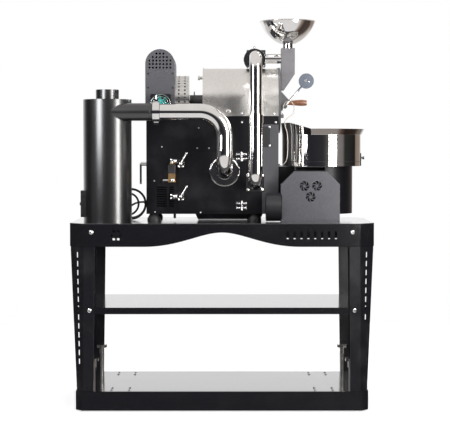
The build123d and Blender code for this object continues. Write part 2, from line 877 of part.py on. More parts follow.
# ---------------------------------------------------------------- access door
# The door swings on two butt hinges at its right edge. The elbow pipe is bolted
# to it and swings with it, once the band clamp at the cyclone is open.
door_back = cabinet_front - seat_gap
door_front = door_back - door_sheet
hinge_y = door_front - hinge_barrel_radius
door_leaf_right = hinge_x - hinge_barrel_radius - moving_gap
fixed_leaf_left = hinge_x + hinge_barrel_radius + moving_gap
knuckle = hinge_height / 3
latch_pivot_y = door_front - latch_block[2]
port_radius = elbow_radius - pipe_wall
with BuildPart() as access_door:
    block(door_left, door_right - hinge_barrel_radius, door_front, door_back, door_bottom, door_top)
    for z in hinge_heights:
        leaf_front = door_front - hinge_leaf_sheet
        block(
            hinge_x - hinge_leaf_width,
            door_leaf_right,
            leaf_front,
            door_front,
            z - hinge_height / 2,
            z + hinge_height / 2,
        )
        block(
            door_leaf_right - stand_off,
            hinge_x,
            leaf_front,
            leaf_front + hinge_leaf_sheet,
            z - knuckle / 2 + seat_gap,
            z + knuckle / 2 - seat_gap,
        )
        bar((hinge_x, hinge_y, z - knuckle / 2 + seat_gap), "Z", hinge_barrel_radius, knuckle - 2 * seat_gap)
    for z in latch_heights:
        half_width = latch_block[0] / 2
        half_height = latch_block[1] / 2
        block(
            latch_x - half_width,
            latch_x + half_width,
            latch_pivot_y,
            door_front,
            z - half_height,
            z + half_height,
        )
        bar((latch_x, latch_pivot_y - 4 * latch_pivot_radius, z), "Y", latch_pivot_radius, 4 * latch_pivot_radius)
    for z in hinge_heights:
        pin_hole = hinge_pin_radius + running_gap
        bar((hinge_x, hinge_y, z - hinge_height), "Z", pin_hole, 2 * hinge_height, Mode.SUBTRACT)
    bar((elbow_x, door_back + stand_off, elbow_bottom_z), "Y", port_radius, stand_off, Mode.SUBTRACT)
    bar((elbow_x, door_front - stand_off, elbow_bottom_z), "Y", port_radius, door_sheet + 2 * stand_off, Mode.SUBTRACT)
access_door.part.label = "access_door"
export_step(access_door.part, "parts/access_door.step")

with BuildPart() as door_hardware:
    for z in hinge_heights:
        leaf_back = cabinet_front - seat_gap
        leaf_front = door_front - hinge_leaf_sheet
        block(
            fixed_leaf_left,
            hinge_x + hinge_leaf_width,
            leaf_front,
            leaf_back,
            z - hinge_height / 2,
            z + hinge_height / 2,
        )
        for end in (-1, 1):
            low = min(z + end * knuckle / 2 + end * seat_gap, z + end * hinge_height / 2)
            length = hinge_height / 2 - knuckle / 2 - seat_gap
            bar((hinge_x, hinge_y, low), "Z", hinge_barrel_radius, length)
            block(hinge_x, fixed_leaf_left + stand_off, leaf_front, leaf_front + hinge_leaf_sheet, low, low + length)
        bar((hinge_x, hinge_y, z - hinge_height / 2), "Z", hinge_pin_radius, hinge_height)
    for z in keeper_heights:
        keeper_right = latch_x - latch_block[0] / 2 - moving_gap
        block(
            keeper_right - keeper_size[0],
            keeper_right,
            cabinet_front - seat_gap - keeper_size[2],
            cabinet_front - seat_gap,
            z - keeper_size[1] / 2,
            z + keeper_size[1] / 2,
        )
door_hardware.part.label = "door_hardware"
export_step(door_hardware.part, "parts/door_hardware.step")

# The latch levers turn on studs that stand out of their blocks.
latch_hub_back = latch_pivot_y - seat_gap
latch_hub_length = 3 * latch_pivot_radius
for name, z in zip(("upper", "lower"), latch_heights):
    hub_y = latch_hub_back - latch_hub_length
    arm_y = latch_hub_back - latch_hub_length / 2
    arm_end = (
        latch_x + latch_arm_length * cos(radians(latch_arm_angle)),
        arm_y,
        z + latch_arm_length * sin(radians(latch_arm_angle)),
    )
    with BuildPart() as latch_lever:
        bar((latch_x, hub_y, z), "Y", latch_pivot_radius * 2.2, latch_hub_length)
        with Locations(Plane((latch_x, arm_y, z), (0, 1, 0), (arm_end[0] - latch_x, 0, arm_end[2] - z)).location):
            Cylinder(latch_arm_radius, latch_arm_length, align=(Align.CENTER, Align.CENTER, Align.MIN))
        with Locations(arm_end):
            Sphere(latch_ball_radius)
        bore = latch_pivot_radius + running_gap
        bar((latch_x, hub_y - stand_off, z), "Y", bore, latch_hub_length + 2 * stand_off, Mode.SUBTRACT)
    latch_lever.part.label = f"{name}_latch_lever"
    export_step(latch_lever.part, f"parts/{name}_latch_lever.step")

# ---------------------------------------------------------------- gas valve, side lever
with BuildPart() as gas_valve:
    valve_back = cabinet_front - seat_gap
    block(
        valve_x - valve_coil[0] / 2,
        valve_x + valve_coil[0] / 2,
        valve_back - valve_coil[1],
        valve_back,
        valve_coil_z + seat_gap,
        valve_coil_z + valve_coil[2],
    )
    fillet(gas_valve.edges().filter_by(Axis.Z), 3)
    body_low = valve_coil_z - valve_body[2]
    block(
        valve_x - valve_body[0] / 2,
        valve_x + valve_body[0] / 2,
        valve_back - valve_body[1],
        valve_back,
        body_low,
        valve_coil_z,
    )
    nozzle_y = valve_back - valve_body[1] / 2
    nozzle_end = valve_x - valve_body[0] / 2 - seat_gap
    bar((nozzle_left, nozzle_y, nozzle_z), "X", nozzle_radius, nozzle_end - nozzle_left)
gas_valve.part.label = "gas_valve"
export_step(gas_valve.part, "parts/gas_valve.step")

with BuildPart() as side_lever:
    lever_x = cabinet_left - side_lever_reach
    bar((lever_x, side_lever_y, side_lever_z), "X", side_lever_radius * 2, side_lever_reach - seat_gap)
    with BuildSketch(facing_right(lever_x - side_lever_radius)):
        with Locations((side_lever_y, side_lever_z - side_lever_drop / 2)):
            SlotOverall(side_lever_drop + 2 * side_lever_radius, 3 * side_lever_radius, rotation=90)
    extrude(amount=2 * side_lever_radius)
side_lever.part.label = "side_lever"
export_step(side_lever.part, "parts/side_lever.step")

# ---------------------------------------------------------------- drum and casing
jacket_bottom = band_top + seat_gap
faceplate_left = jacket_right + seat_gap
faceplate_right = faceplate_left + faceplate_thickness


def casing_outline(radius, bottom):
    """A round top on straight sides, around the drum's axis."""
    front = drum_y - radius
    back = drum_y + radius
    with BuildSketch() as outline:
        with BuildLine():
            Polyline((front, drum_z), (front, bottom), (back, bottom), (back, drum_z))
            CenterArc((drum_y, drum_z), radius, 0, 180)
        make_face()
    return outline.sketch


with BuildPart() as drum_jacket:
    with BuildSketch(facing_right(jacket_left)):
        add(casing_outline(jacket_radius, jacket_bottom))
    extrude(amount=jacket_right - jacket_left)
    for x in (jacket_left, jacket_right - flange_thickness):
        with BuildSketch(facing_right(x)):
            add(casing_outline(flange_radius, jacket_bottom))
        extrude(amount=flange_thickness)
    block(
        jacket_left,
        jacket_right,
        drum_y - jacket_radius - rail_proud,
        drum_y + jacket_radius + rail_proud,
        jacket_bottom,
        jacket_bottom + rail_height,
    )
    with BuildSketch(facing_right(jacket_left + flange_thickness)):
        add(casing_outline(jacket_radius - jacket_sheet, jacket_bottom - stand_off))
    extrude(amount=jacket_right - jacket_left, mode=Mode.SUBTRACT)
    bar((jacket_left - stand_off, drum_y, drum_z), "X", shaft_radius + stand_off, 3 * flange_thickness, Mode.SUBTRACT)
    bolt_spot = (jacket_left - 19, drum_y - 40, drum_z + 88)
    bar(bolt_spot, "X", 6, 19)
    bar(bolt_spot, "X", 9, 7)
drum_jacket.part.label = "drum_jacket"
export_step(drum_jacket.part, "parts/drum_jacket.step")

drum_left = jacket_left + flange_thickness + drum_end_gap
drum_right = jacket_right - drum_end_gap
drum_inside = drum_radius - drum_sheet
shaft_left = sprocket_x - sprocket_width
shaft_right = faceplate_left + faceplate_boss_length - stand_off
spider_x = drum_left + spider_offset
with BuildPart() as drum:
    bar((drum_left, drum_y, drum_z), "X", drum_radius, drum_right - drum_left)
    bar((drum_left + 2 * drum_sheet, drum_y, drum_z), "X", drum_inside, drum_right - drum_left, Mode.SUBTRACT)
    for vane in range(vane_count):
        turn = 360 / vane_count * vane
        with BuildSketch(facing_right(drum_left + 2 * drum_sheet)):
            with Locations((drum_y, drum_z)):
                with PolarLocations(drum_inside - vane_depth / 2, 1, start_angle=turn):
                    Rectangle(vane_depth + drum_sheet, drum_sheet)
        extrude(amount=drum_right - drum_left - 2 * drum_sheet - stand_off)
    with BuildSketch(facing_right(spider_x)):
        with Locations((drum_y, drum_z)):
            with PolarLocations(drum_inside / 2, 3, start_angle=30):
                Rectangle(drum_inside + drum_sheet, shaft_radius)
    extrude(amount=shaft_radius)
    bar((shaft_left, drum_y, drum_z), "X", shaft_radius, shaft_right - shaft_left)
    sprocket_left = sprocket_x - sprocket_width / 2
    bar((sprocket_left, drum_y, drum_z), "X", drum_sprocket_radius, sprocket_width)
drum.part.label = "drum"
export_step(drum.part, "parts/drum.step")

spout_tip = faceplate_right + spout_reach
spout_tip_z = drum_z
pivot_share = 0.5
pivot_x = faceplate_right + spout_reach * pivot_share
pivot_z = spout_bottom + (spout_tip_z - spout_bottom) * pivot_share
with BuildPart() as faceplate:
    bar((faceplate_left, drum_y, drum_z), "X", flange_radius, faceplate_thickness)
    bar((faceplate_right, drum_y, drum_z), "X", faceplate_boss_radius, faceplate_boss_length - faceplate_thickness)
    with BuildSketch(facing_front(drum_y + spout_half_width)):
        with BuildLine():
            Polyline(
                (faceplate_right, spout_top),
                (spout_tip, spout_tip_z),
                (faceplate_right, spout_bottom),
                close=True,
            )
        make_face()
    extrude(amount=2 * spout_half_width)
    spout_slope = atan2(spout_top - spout_tip_z, spout_reach)
    with BuildSketch(facing_front(drum_y + spout_half_width - spout_sheet)):
        with BuildLine():
            drop = spout_sheet / cos(spout_slope)
            Polyline(
                (faceplate_right, spout_top - drop),
                (spout_tip + spout_sheet, spout_tip_z - drop - spout_sheet * tan(spout_slope)),
                (spout_tip, spout_bottom - spout_sheet),
                (faceplate_right, spout_bottom - spout_sheet),
                close=True,
            )
        make_face()
    extrude(amount=2 * (spout_half_width - spout_sheet), mode=Mode.SUBTRACT)
    half_mouth = spout_half_width - 2 * spout_sheet
    block(
        faceplate_left - stand_off,
        faceplate_right + stand_off,
        drum_y - half_mouth,
        drum_y + half_mouth,
        spout_bottom,
        drum_z - shaft_radius - spout_sheet,
        Mode.SUBTRACT,
    )
    block(
        faceplate_left - stand_off,
        faceplate_right + stand_off,
        drum_y - inlet_size[0] / 2,
        drum_y + inlet_size[0] / 2,
        inlet_z - inlet_size[1] / 2,
        inlet_z + inlet_size[1] / 2,
        Mode.SUBTRACT,
    )
    bore = shaft_radius + running_gap
    bar((faceplate_left - stand_off, drum_y, drum_z), "X", bore, faceplate_boss_length + stand_off, Mode.SUBTRACT)
    bore = trier_radius + running_gap
    bar((faceplate_left - stand_off, trier_y, trier_z), "X", bore, 2 * faceplate_thickness, Mode.SUBTRACT)
    bore = door_shaft_radius + running_gap
    bar((pivot_x, drum_y - 2 * spout_half_width, pivot_z), "Y", bore, 4 * spout_half_width, Mode.SUBTRACT)
    block(
        faceplate_right - stand_off,
        faceplate_right + lead_fitting[0],
        lead_points[0][1] - lead_fitting[1] / 2,
        lead_points[0][1] + lead_fitting[1] / 2,
        lead_points[0][2] - lead_fitting[2],
        lead_points[0][2],
    )
faceplate.part.label = "faceplate"
export_step(faceplate.part, "parts/faceplate.step")

# The discharge door turns on a shaft through the spout's cheeks. The lever and
# its counterweight sit on the shaft's near end and hold the door shut.
door_half = spout_half_width - spout_sheet - moving_gap
mouth_angle = atan2(spout_tip_z - spout_bottom, spout_reach)
mouth_length = hypot(spout_tip_z - spout_bottom, spout_reach)
hub_back = drum_y - spout_half_width - moving_gap
lever_y = hub_back - lever_hub_width / 2
lever_end = (
    pivot_x + lever_length * cos(radians(lever_angle)),
    lever_y,
    pivot_z + lever_length * sin(radians(lever_angle)),
)
with BuildPart() as discharge_door:
    mouth_plane = Plane((pivot_x, drum_y, pivot_z), (0, 1, 0), (sin(mouth_angle), 0, -cos(mouth_angle)))
    with BuildSketch(mouth_plane):
        Rectangle(2 * door_half, mouth_length - 4 * spout_sheet)
    extrude(amount=discharge_door_sheet / 2, both=True)
    shaft_front = hub_back - lever_hub_width
    shaft_back = drum_y + spout_half_width + spout_sheet
    bar((pivot_x, shaft_front, pivot_z), "Y", door_shaft_radius, shaft_back - shaft_front)
    bar((pivot_x, shaft_front, pivot_z), "Y", lever_hub_radius, lever_hub_width)
    rod_axis = Plane((pivot_x, lever_y, pivot_z), (0, 1, 0), (lever_end[0] - pivot_x, 0, lever_end[2] - pivot_z))
    with Locations(rod_axis.location):
        Cylinder(lever_radius, lever_length, align=(Align.CENTER, Align.CENTER, Align.MIN))
    bar((lever_end[0], lever_y - weight_width / 2, lever_end[2]), "Y", weight_radius, weight_width)
discharge_door.part.label = "discharge_door"
export_step(discharge_door.part, "parts/discharge_door.step")

with BuildPart() as trier:
    tube_left = faceplate_left - trier_reach
    bar((tube_left, trier_y, trier_z), "X", trier_radius, trier_handle_start - tube_left)
    bar((tube_left - stand_off, trier_y, trier_z), "X", trier_radius - 1.5, trier_reach, Mode.SUBTRACT)
    block(
        tube_left - stand_off,
        faceplate_left - stand_off,
        trier_y - 2 * trier_radius,
        trier_y + 2 * trier_radius,
        trier_z + trier_radius * 0.2,
        trier_z + 2 * trier_radius,
        Mode.SUBTRACT,
    )
    with BuildSketch(Plane.XZ.offset(-trier_y)):
        with BuildLine():
            handle_end = trier_handle_start + trier_handle_length
            Spline(
                (trier_handle_start, trier_z + trier_handle_radius * 0.72),
                (trier_handle_start + trier_handle_length * 0.3, trier_z + trier_handle_radius * 0.8),
                (trier_handle_start + trier_handle_length * 0.75, trier_z + trier_handle_radius),
                (handle_end, trier_z + trier_handle_radius * 0.8),
            )
            Polyline(
                (handle_end, trier_z + trier_handle_radius * 0.8),
                (handle_end, trier_z),
                (trier_handle_start, trier_z),
                (trier_handle_start, trier_z + trier_handle_radius * 0.72),
            )
        make_face()
    revolve(axis=Axis((0, trier_y, trier_z), (1, 0, 0)))
trier.part.label = "trier"
export_step(trier.part, "parts/trier.step")

# ---------------------------------------------------------------- rear drive
bearing_right = jacket_left - seat_gap
bearing_left = bearing_right - bearing_length
with BuildPart() as bearing_housing:
    bar((bearing_left, drum_y, drum_z), "X", bearing_radius, bearing_length)
    bar((bearing_left + bearing_length * 0.3, drum_y, drum_z), "X", bearing_flange_radius, flange_thickness)
    bore = shaft_radius + running_gap
    bar((bearing_left - stand_off, drum_y, drum_z), "X", bore, bearing_length + 2 * stand_off, Mode.SUBTRACT)
bearing_housing.part.label = "bearing_housing"
export_step(bearing_housing.part, "parts/bearing_housing.step")

motor_cover_right = motor_cover_left + motor_cover_width
guard_left = motor_cover_right + seat_gap
guard_right = guard_left + guard_length
cover_bottom = band_top + seat_gap
with BuildPart() as sprocket_guard:
    bar((guard_left, drum_y, drum_z), "X", guard_radius, guard_length)
    bar(
        (guard_left - stand_off, drum_y, drum_z),
        "X",
        guard_radius - guard_sheet,
        guard_length - guard_sheet + stand_off,
        Mode.SUBTRACT,
    )
    bar((guard_left, drum_y, drum_z), "X", bearing_radius + stand_off, 2 * guard_length, Mode.SUBTRACT)
    for x in (guard_left + guard_length * 0.28, guard_left + guard_length * 0.72):
        hole_row = Plane((x, drum_y, drum_z), (0, 1, 0), (1, 0, 0))
        with Locations(hole_row.location):
            for hole in range(guard_hole_count):
                with Locations(Rotation(0, 0, 360 / guard_hole_count * (hole + 0.5))):
                    with Locations(Location((guard_radius, 0, 0), (0, 90, 0))):
                        Cylinder(guard_hole, 4 * guard_sheet, mode=Mode.SUBTRACT)
    block(
        guard_left - stand_off,
        guard_right + stand_off,
        drum_y - 2 * guard_radius,
        drum_y + 2 * guard_radius,
        drum_z - 2 * guard_radius,
        cover_bottom,
        Mode.SUBTRACT,
    )
sprocket_guard.part.label = "sprocket_guard"
export_step(sprocket_guard.part, "parts/sprocket_guard.step")

cover_middle = motor_cover_left + motor_cover_width / 2


def cover_outline(inset):
    """The motor cover's front view: straight sides and a round top."""
    half = motor_cover_width / 2 - inset
    crown = motor_cover_top - motor_cover_width / 2
    with BuildSketch() as outline:
        with BuildLine():
            Polyline(
                (cover_middle - half, crown),
                (cover_middle - half, cover_bottom + inset),
                (cover_middle + half, cover_bottom + inset),
                (cover_middle + half, crown),
            )
            CenterArc((cover_middle, crown), half, 0, 180)
        make_face()
    return outline.sketch


with BuildPart() as motor_cover:
    with BuildSketch(facing_front(motor_cover_back)):
        add(cover_outline(0))
    extrude(amount=motor_cover_back - motor_cover_front)
    with BuildSketch(facing_front(motor_cover_back - body_sheet)):
        add(cover_outline(body_sheet))
    extrude(amount=motor_cover_back - motor_cover_front - 2 * body_sheet, mode=Mode.SUBTRACT)
    with BuildSketch(facing_front(motor_cover_front - stand_off)):
        for row, count in enumerate(vent_rows):
            with Locations((cover_middle, vent_bottom + row * vent_pitch)):
                with GridLocations(vent_pitch, 0, count, 1):
                    Circle(vent_hole)
        with Locations((fan_x, fan_z)):
            Circle(fan_bore)
    extrude(amount=-body_sheet - 2 * stand_off, mode=Mode.SUBTRACT)
    bar(
        (motor_cover_right - 2 * body_sheet, drum_y, drum_z),
        "X",
        shaft_radius + 3 * stand_off,
        3 * body_sheet,
        Mode.SUBTRACT,
    )
motor_cover.part.label = "motor_cover"
export_step(motor_cover.part, "parts/motor_cover.step")

motor_right = sprocket_x - 2 * sprocket_width
motor_left = motor_cover_left + body_sheet + seat_gap
shaft_engagement = 18.0
with BuildPart() as drum_motor:
    bar((motor_left, drum_y, motor_z), "X", motor_radius, motor_right - motor_left)
    bar(
        (motor_right - shaft_engagement, drum_y, motor_z),
        "X",
        motor_shaft_radius + running_gap,
        shaft_engagement + stand_off,
        Mode.SUBTRACT,
    )
    belt_left = sprocket_x - sprocket_width / 2
    for grow, mode in ((chain_gap + chain_thickness, Mode.ADD), (chain_gap, Mode.SUBTRACT)):
        with BuildSketch(facing_right(belt_left)) as chain_outline:
            with Locations((drum_y, drum_z)):
                Circle(drum_sprocket_radius + grow)
            with Locations((drum_y, motor_z)):
                Circle(motor_sprocket_radius + grow)
            make_hull()
        extrude(amount=sprocket_width, mode=mode)
drum_motor.part.label = "drum_motor"
export_step(drum_motor.part, "parts/drum_motor.step")

with BuildPart() as motor_sprocket:
    bar((sprocket_left, drum_y, motor_z), "X", motor_sprocket_radius, sprocket_width)
    shaft_start = motor_right - shaft_engagement + stand_off
    bar((shaft_start, drum_y, motor_z), "X", motor_shaft_radius, sprocket_left - shaft_start)
motor_sprocket.part.label = "motor_sprocket"
export_step(motor_sprocket.part, "parts/motor_sprocket.step")

# ---------------------------------------------------------------- axial fan
fan_back = motor_cover_front - seat_gap
fan_front = fan_back - fan_depth
fan_hub_back = fan_back - 6.0
with BuildPart() as fan_frame:
    with BuildSketch(facing_front(fan_back)):
        with Locations((fan_x, fan_z)):
            RectangleRounded(fan_size, fan_size, 6)
            Circle(fan_bore, mode=Mode.SUBTRACT)
            with GridLocations(fan_size - 9, fan_size - 9, 2, 2):
                Circle(2.2, mode=Mode.SUBTRACT)
    extrude(amount=fan_depth)
    with BuildSketch(facing_front(fan_back)):
        with Locations((fan_x, fan_z)):
            Circle(fan_hub_radius)
            with PolarLocations(fan_bore / 2 + fan_hub_radius / 2, 4, start_angle=45):
                Rectangle(fan_bore - fan_hub_radius + 4, 5)
    extrude(amount=4)
    bar((fan_x, fan_front + 4, fan_z), "Y", fan_pin_radius, fan_depth - 6)
    guard_y = fan_front - seat_gap - finger_wire
    for radius in finger_ring_radii:
        with Locations(Plane((fan_x, guard_y, fan_z), (1, 0, 0), (0, -1, 0)).location):
            Torus(radius, finger_wire)
    with BuildSketch(facing_front(guard_y + finger_wire * 0.8)):
        with Locations((fan_x, fan_z)):
            with PolarLocations((finger_ring_radii[0] + fan_size * 0.64) / 2, 4, start_angle=45):
                Rectangle(fan_size * 0.64 - finger_ring_radii[0], 2 * finger_wire)
    extrude(amount=finger_wire * 1.6)
fan_frame.part.label = "fan_frame"
export_step(fan_frame.part, "parts/fan_frame.step")

with BuildPart() as fan_blades:
    hub_depth = fan_hub_back - fan_front - 3
    bar((fan_x, fan_front + 3, fan_z), "Y", fan_hub_radius, hub_depth)
    for blade in range(fan_blade_count):
        angle = 2 * pi / fan_blade_count * blade
        reach = Vector(cos(angle), 0, sin(angle))
        root = Vector(fan_x, fan_front + 3 + hub_depth / 2, fan_z)
        pitch = Vector(-sin(angle) * 0.8, 0.6, cos(angle) * 0.8)
        blade_plane = Plane(root + reach * (fan_hub_radius - 2), pitch, reach)
        with BuildSketch(blade_plane):
            Rectangle(hub_depth * 1.1, 1.5)
        extrude(amount=fan_bore - fan_hub_radius - 1)
    bar((fan_x, fan_front - stand_off, fan_z), "Y", fan_pin_radius + running_gap, fan_depth, Mode.SUBTRACT)
fan_blades.part.label = "fan_blades"
export_step(fan_blades.part, "parts/fan_blades.step")

# ---------------------------------------------------------------- bean feed
chute_right = chute_left + chute_width
chute_front = drum_y - chute_depth / 2
chute_back = drum_y + chute_depth / 2
chute_toe_z = spout_top + seat_gap


def chute_outline(inset):
    """Side view of the chute box, whose foot slopes down to the faceplate."""
    left = chute_left + inset
    right = chute_right - inset
    with BuildSketch() as outline:
        with BuildLine():
            Polyline(
                (left, chute_toe_z + inset),
                (left, chute_top - inset),
                (right, chute_top - inset),
                (right, chute_shoulder),
                (chute_left + chute_toe, chute_toe_z + inset),
                close=True,
            )
        make_face()
    return outline.sketch


gate_z = chute_top - gate_drop
neck_hole = hopper_neck_radius + seat_gap
with BuildPart() as chute_box:
    with BuildSketch(facing_front(chute_back)):
        add(chute_outline(0))
    extrude(amount=chute_depth)
    with BuildSketch(facing_front(chute_back - body_sheet)):
        add(chute_outline(body_sheet))
    extrude(amount=chute_depth - 2 * body_sheet, mode=Mode.SUBTRACT)
    bar((hopper_x, drum_y, chute_top - 3 * body_sheet), "Z", neck_hole, 6 * body_sheet, Mode.SUBTRACT)
    block(
        chute_left - stand_off,
        chute_left + 2 * body_sheet,
        drum_y - inlet_size[0] / 2,
        drum_y + inlet_size[0] / 2,
        inlet_z - inlet_size[1] / 2,
        inlet_z + inlet_size[1] / 2,
        Mode.SUBTRACT,
    )
    bar(
        (chute_left - stand_off, drum_y, exhaust_z),
        "X",
        exhaust_radius - exhaust_wall,
        3 * body_sheet,
        Mode.SUBTRACT,
    )
    gate_half = hopper_neck_radius + 2 * stand_off
    block(
        hopper_x - gate_half - moving_gap,
        hopper_x + gate_half + moving_gap,
        chute_back - 2 * body_sheet,
        chute_back + stand_off,
        gate_z - gate_sheet / 2 - moving_gap,
        gate_z + gate_sheet / 2 + moving_gap,
        Mode.SUBTRACT,
    )
    with BuildSketch(facing_front(chute_back + seat_gap)) as seam:
        with Locations(((chute_left + chute_right) / 2, chute_shoulder)):
            Rectangle(chute_width, body_sheet)
    extrude(amount=chute_depth + 2 * seat_gap)
    block(
        chute_left + body_sheet,
        chute_right - body_sheet,
        chute_front + body_sheet,
        chute_back - body_sheet,
        chute_shoulder - body_sheet,
        chute_shoulder + body_sheet,
        Mode.SUBTRACT,
    )
chute_box.part.label = "chute_box"
export_step(chute_box.part, "parts/chute_box.step")

bowl_bottom_radius = hopper_neck_radius + 9
bowl_middle = (hopper_rim_radius * 0.77, hopper_neck_top + (hopper_rim_z - hopper_neck_top) * 0.46)
with BuildPart() as hopper:
    with BuildSketch(Plane.XZ.offset(-drum_y)) as bowl:
        with BuildLine():
            neck_bottom = gate_z + gate_sheet / 2 + moving_gap
            neck_out = hopper_x + hopper_neck_radius
            Polyline(
                (neck_out - hopper_sheet, hopper_neck_top),
                (neck_out - hopper_sheet, neck_bottom),
                (neck_out, neck_bottom),
                (neck_out, hopper_neck_top - hopper_sheet),
                (hopper_x + bowl_bottom_radius, hopper_neck_top),
            )
            ThreePointArc(
                (hopper_x + bowl_bottom_radius, hopper_neck_top),
                (hopper_x + bowl_middle[0], bowl_middle[1]),
                (hopper_x + hopper_rim_radius, hopper_rim_z),
            )
            Line((hopper_x + hopper_rim_radius, hopper_rim_z), (hopper_x + hopper_rim_radius - hopper_sheet, hopper_rim_z))
            ThreePointArc(
                (hopper_x + hopper_rim_radius - hopper_sheet, hopper_rim_z),
                (hopper_x + bowl_middle[0] - hopper_sheet, bowl_middle[1] + hopper_sheet),
                (hopper_x + bowl_bottom_radius - hopper_sheet, hopper_neck_top + hopper_sheet),
            )
            Line(
                (hopper_x + bowl_bottom_radius - hopper_sheet, hopper_neck_top + hopper_sheet),
                (neck_out - hopper_sheet, hopper_neck_top),
            )
        make_face()
    revolve(axis=Axis((hopper_x, drum_y, 0), (0, 0, 1)))
    with Locations((hopper_x, drum_y, hopper_rim_z)):
        Torus(hopper_rim_radius, hopper_bead)
hopper.part.label = "hopper"
export_step(hopper.part, "parts/hopper.step")

with BuildPart() as hopper_gate:
    gate_front = chute_front + body_sheet + moving_gap
    gate_back = chute_back + 6.0
    block(
        hopper_x - gate_half,
        hopper_x + gate_half,
        gate_front,
        gate_back,
        gate_z - gate_sheet / 2,
        gate_z + gate_sheet / 2,
    )
    bar((hopper_x, gate_back - stand_off, gate_z), "Y", gate_knob_radius, 2 * gate_knob_radius)
hopper_gate.part.label = "hopper_gate"
export_step(hopper_gate.part, "parts/hopper_gate.step")

# ---------------------------------------------------------------- damper and exhaust
jacket_crown = drum_z + jacket_radius
with BuildPart() as damper_box:
    block(damper_left, damper_right, damper_front, damper_back, damper_bottom, damper_top)
    block(
        damper_left + body_sheet,
        damper_right - body_sheet,
        damper_front + body_sheet,
        damper_back - body_sheet,
        damper_bottom + body_sheet,
        damper_top - body_sheet,
        Mode.SUBTRACT,
    )
    saddle_half = 10.0
    block(
        damper_left + saddle_half,
        damper_right - saddle_half,
        drum_y - saddle_half,
        drum_y + saddle_half,
        jacket_crown + seat_gap,
        damper_bottom,
    )
    flange_front = damper_front - damper_flange_thickness
    bar((down_pipe_x, flange_front, upper_pipe_z), "Y", damper_flange_radius, damper_flange_thickness)
    bar(
        (down_pipe_x, flange_front - stand_off, upper_pipe_z),
        "Y",
        upper_pipe_radius - pipe_wall,
        damper_flange_thickness + body_sheet + 2 * stand_off,
        Mode.SUBTRACT,
    )
    bar(
        (damper_right - 2 * body_sheet, drum_y, exhaust_z),
        "X",
        exhaust_radius - exhaust_wall,
        3 * body_sheet,
        Mode.SUBTRACT,
    )
    bar((down_pipe_x, drum_y, damper_top - 2 * body_sheet), "Z", damper_stem_radius + running_gap, 20, Mode.SUBTRACT)
with BuildPart() as exhaust_tube:
    tube_left = damper_right + seat_gap
    tube_right = chute_left - seat_gap
    bar((tube_left, drum_y, exhaust_z), "X", exhaust_radius, tube_right - tube_left)
    bar(
        (tube_left - stand_off, drum_y, exhaust_z),
        "X",
        exhaust_radius - exhaust_wall,
        tube_right - tube_left + 2 * stand_off,
        Mode.SUBTRACT,
    )
with BuildPart() as damper_set:
    add(damper_box.part)
    add(exhaust_tube.part)
damper_set.part.label = "damper_box"
export_step(damper_set.part, "parts/damper_box.step")

with BuildPart() as damper_valve:
    stem_bottom = exhaust_z - damper_blade_radius
    bar((down_pipe_x, drum_y, stem_bottom), "Z", damper_stem_radius, damper_ball_z - stem_bottom)
    with Locations((down_pipe_x, drum_y, damper_ball_z)):
        Sphere(damper_ball_radius)
    bar((down_pipe_x, drum_y - 0.75, exhaust_z), "Y", damper_blade_radius, 1.5)
damper_valve.part.label = "damper_valve"
export_step(damper_valve.part, "parts/damper_valve.step")

# ---------------------------------------------------------------- pipes
sleeve_top = sleeve_bottom + sleeve_height
pipe_flange_back = flange_front - seat_gap
with BuildPart() as down_pipe:
    with BuildLine() as upper_path:
        FilletPolyline(
            (down_pipe_x, pipe_flange_back, upper_pipe_z),
            (down_pipe_x, pipe_y, upper_pipe_z),
            (down_pipe_x, pipe_y, sleeve_top - seat_gap * 10),
            radius=down_pipe_bend,
        )
    with BuildSketch(Plane((down_pipe_x, pipe_flange_back, upper_pipe_z), (1, 0, 0), (0, -1, 0))):
        Circle(upper_pipe_radius)
        Circle(upper_pipe_radius - pipe_wall, mode=Mode.SUBTRACT)
    sweep(path=upper_path.wires()[0])
    with BuildLine() as lower_path:
        FilletPolyline(
            (down_pipe_x, pipe_y, sleeve_top - seat_gap * 12),
            (down_pipe_x, pipe_y, lower_pipe_z),
            (down_pipe_x, cabinet_front - seat_gap, lower_pipe_z),
            radius=down_pipe_bend,
        )
    with BuildSketch(Plane((down_pipe_x, pipe_y, sleeve_top - seat_gap * 12), (1, 0, 0), (0, 0, -1))):
        Circle(lower_pipe_radius)
        Circle(lower_pipe_radius - pipe_wall, mode=Mode.SUBTRACT)
    sweep(path=lower_path.wires()[0])
    with BuildSketch(Plane.XY.offset(sleeve_bottom)):
        with Locations((down_pipe_x, pipe_y)):
            Circle(sleeve_radius)
            Circle(lower_pipe_radius - seat_gap, mode=Mode.SUBTRACT)
    extrude(amount=sleeve_height)
    with BuildSketch(facing_front(cabinet_front - seat_gap)):
        with Locations((down_pipe_x, square_flange_z)):
            RectangleRounded(square_flange, square_flange, 5)
            Circle(lower_pipe_radius - pipe_wall, mode=Mode.SUBTRACT)
    extrude(amount=flange_sheet)
    with Locations((down_pipe_x, cabinet_front - seat_gap - flange_sheet, square_flange_z)):
        for dx in (-1, 1):
            for dz in (-1, 1):
                with Locations((dx * square_flange_span / 2, 0, dz * square_flange_span / 2)):
                    Cylinder(small_screw_radius, small_screw_height * 2, rotation=(90, 0, 0))
down_pipe.part.label = "down_pipe"
export_step(down_pipe.part, "parts/down_pipe.step")

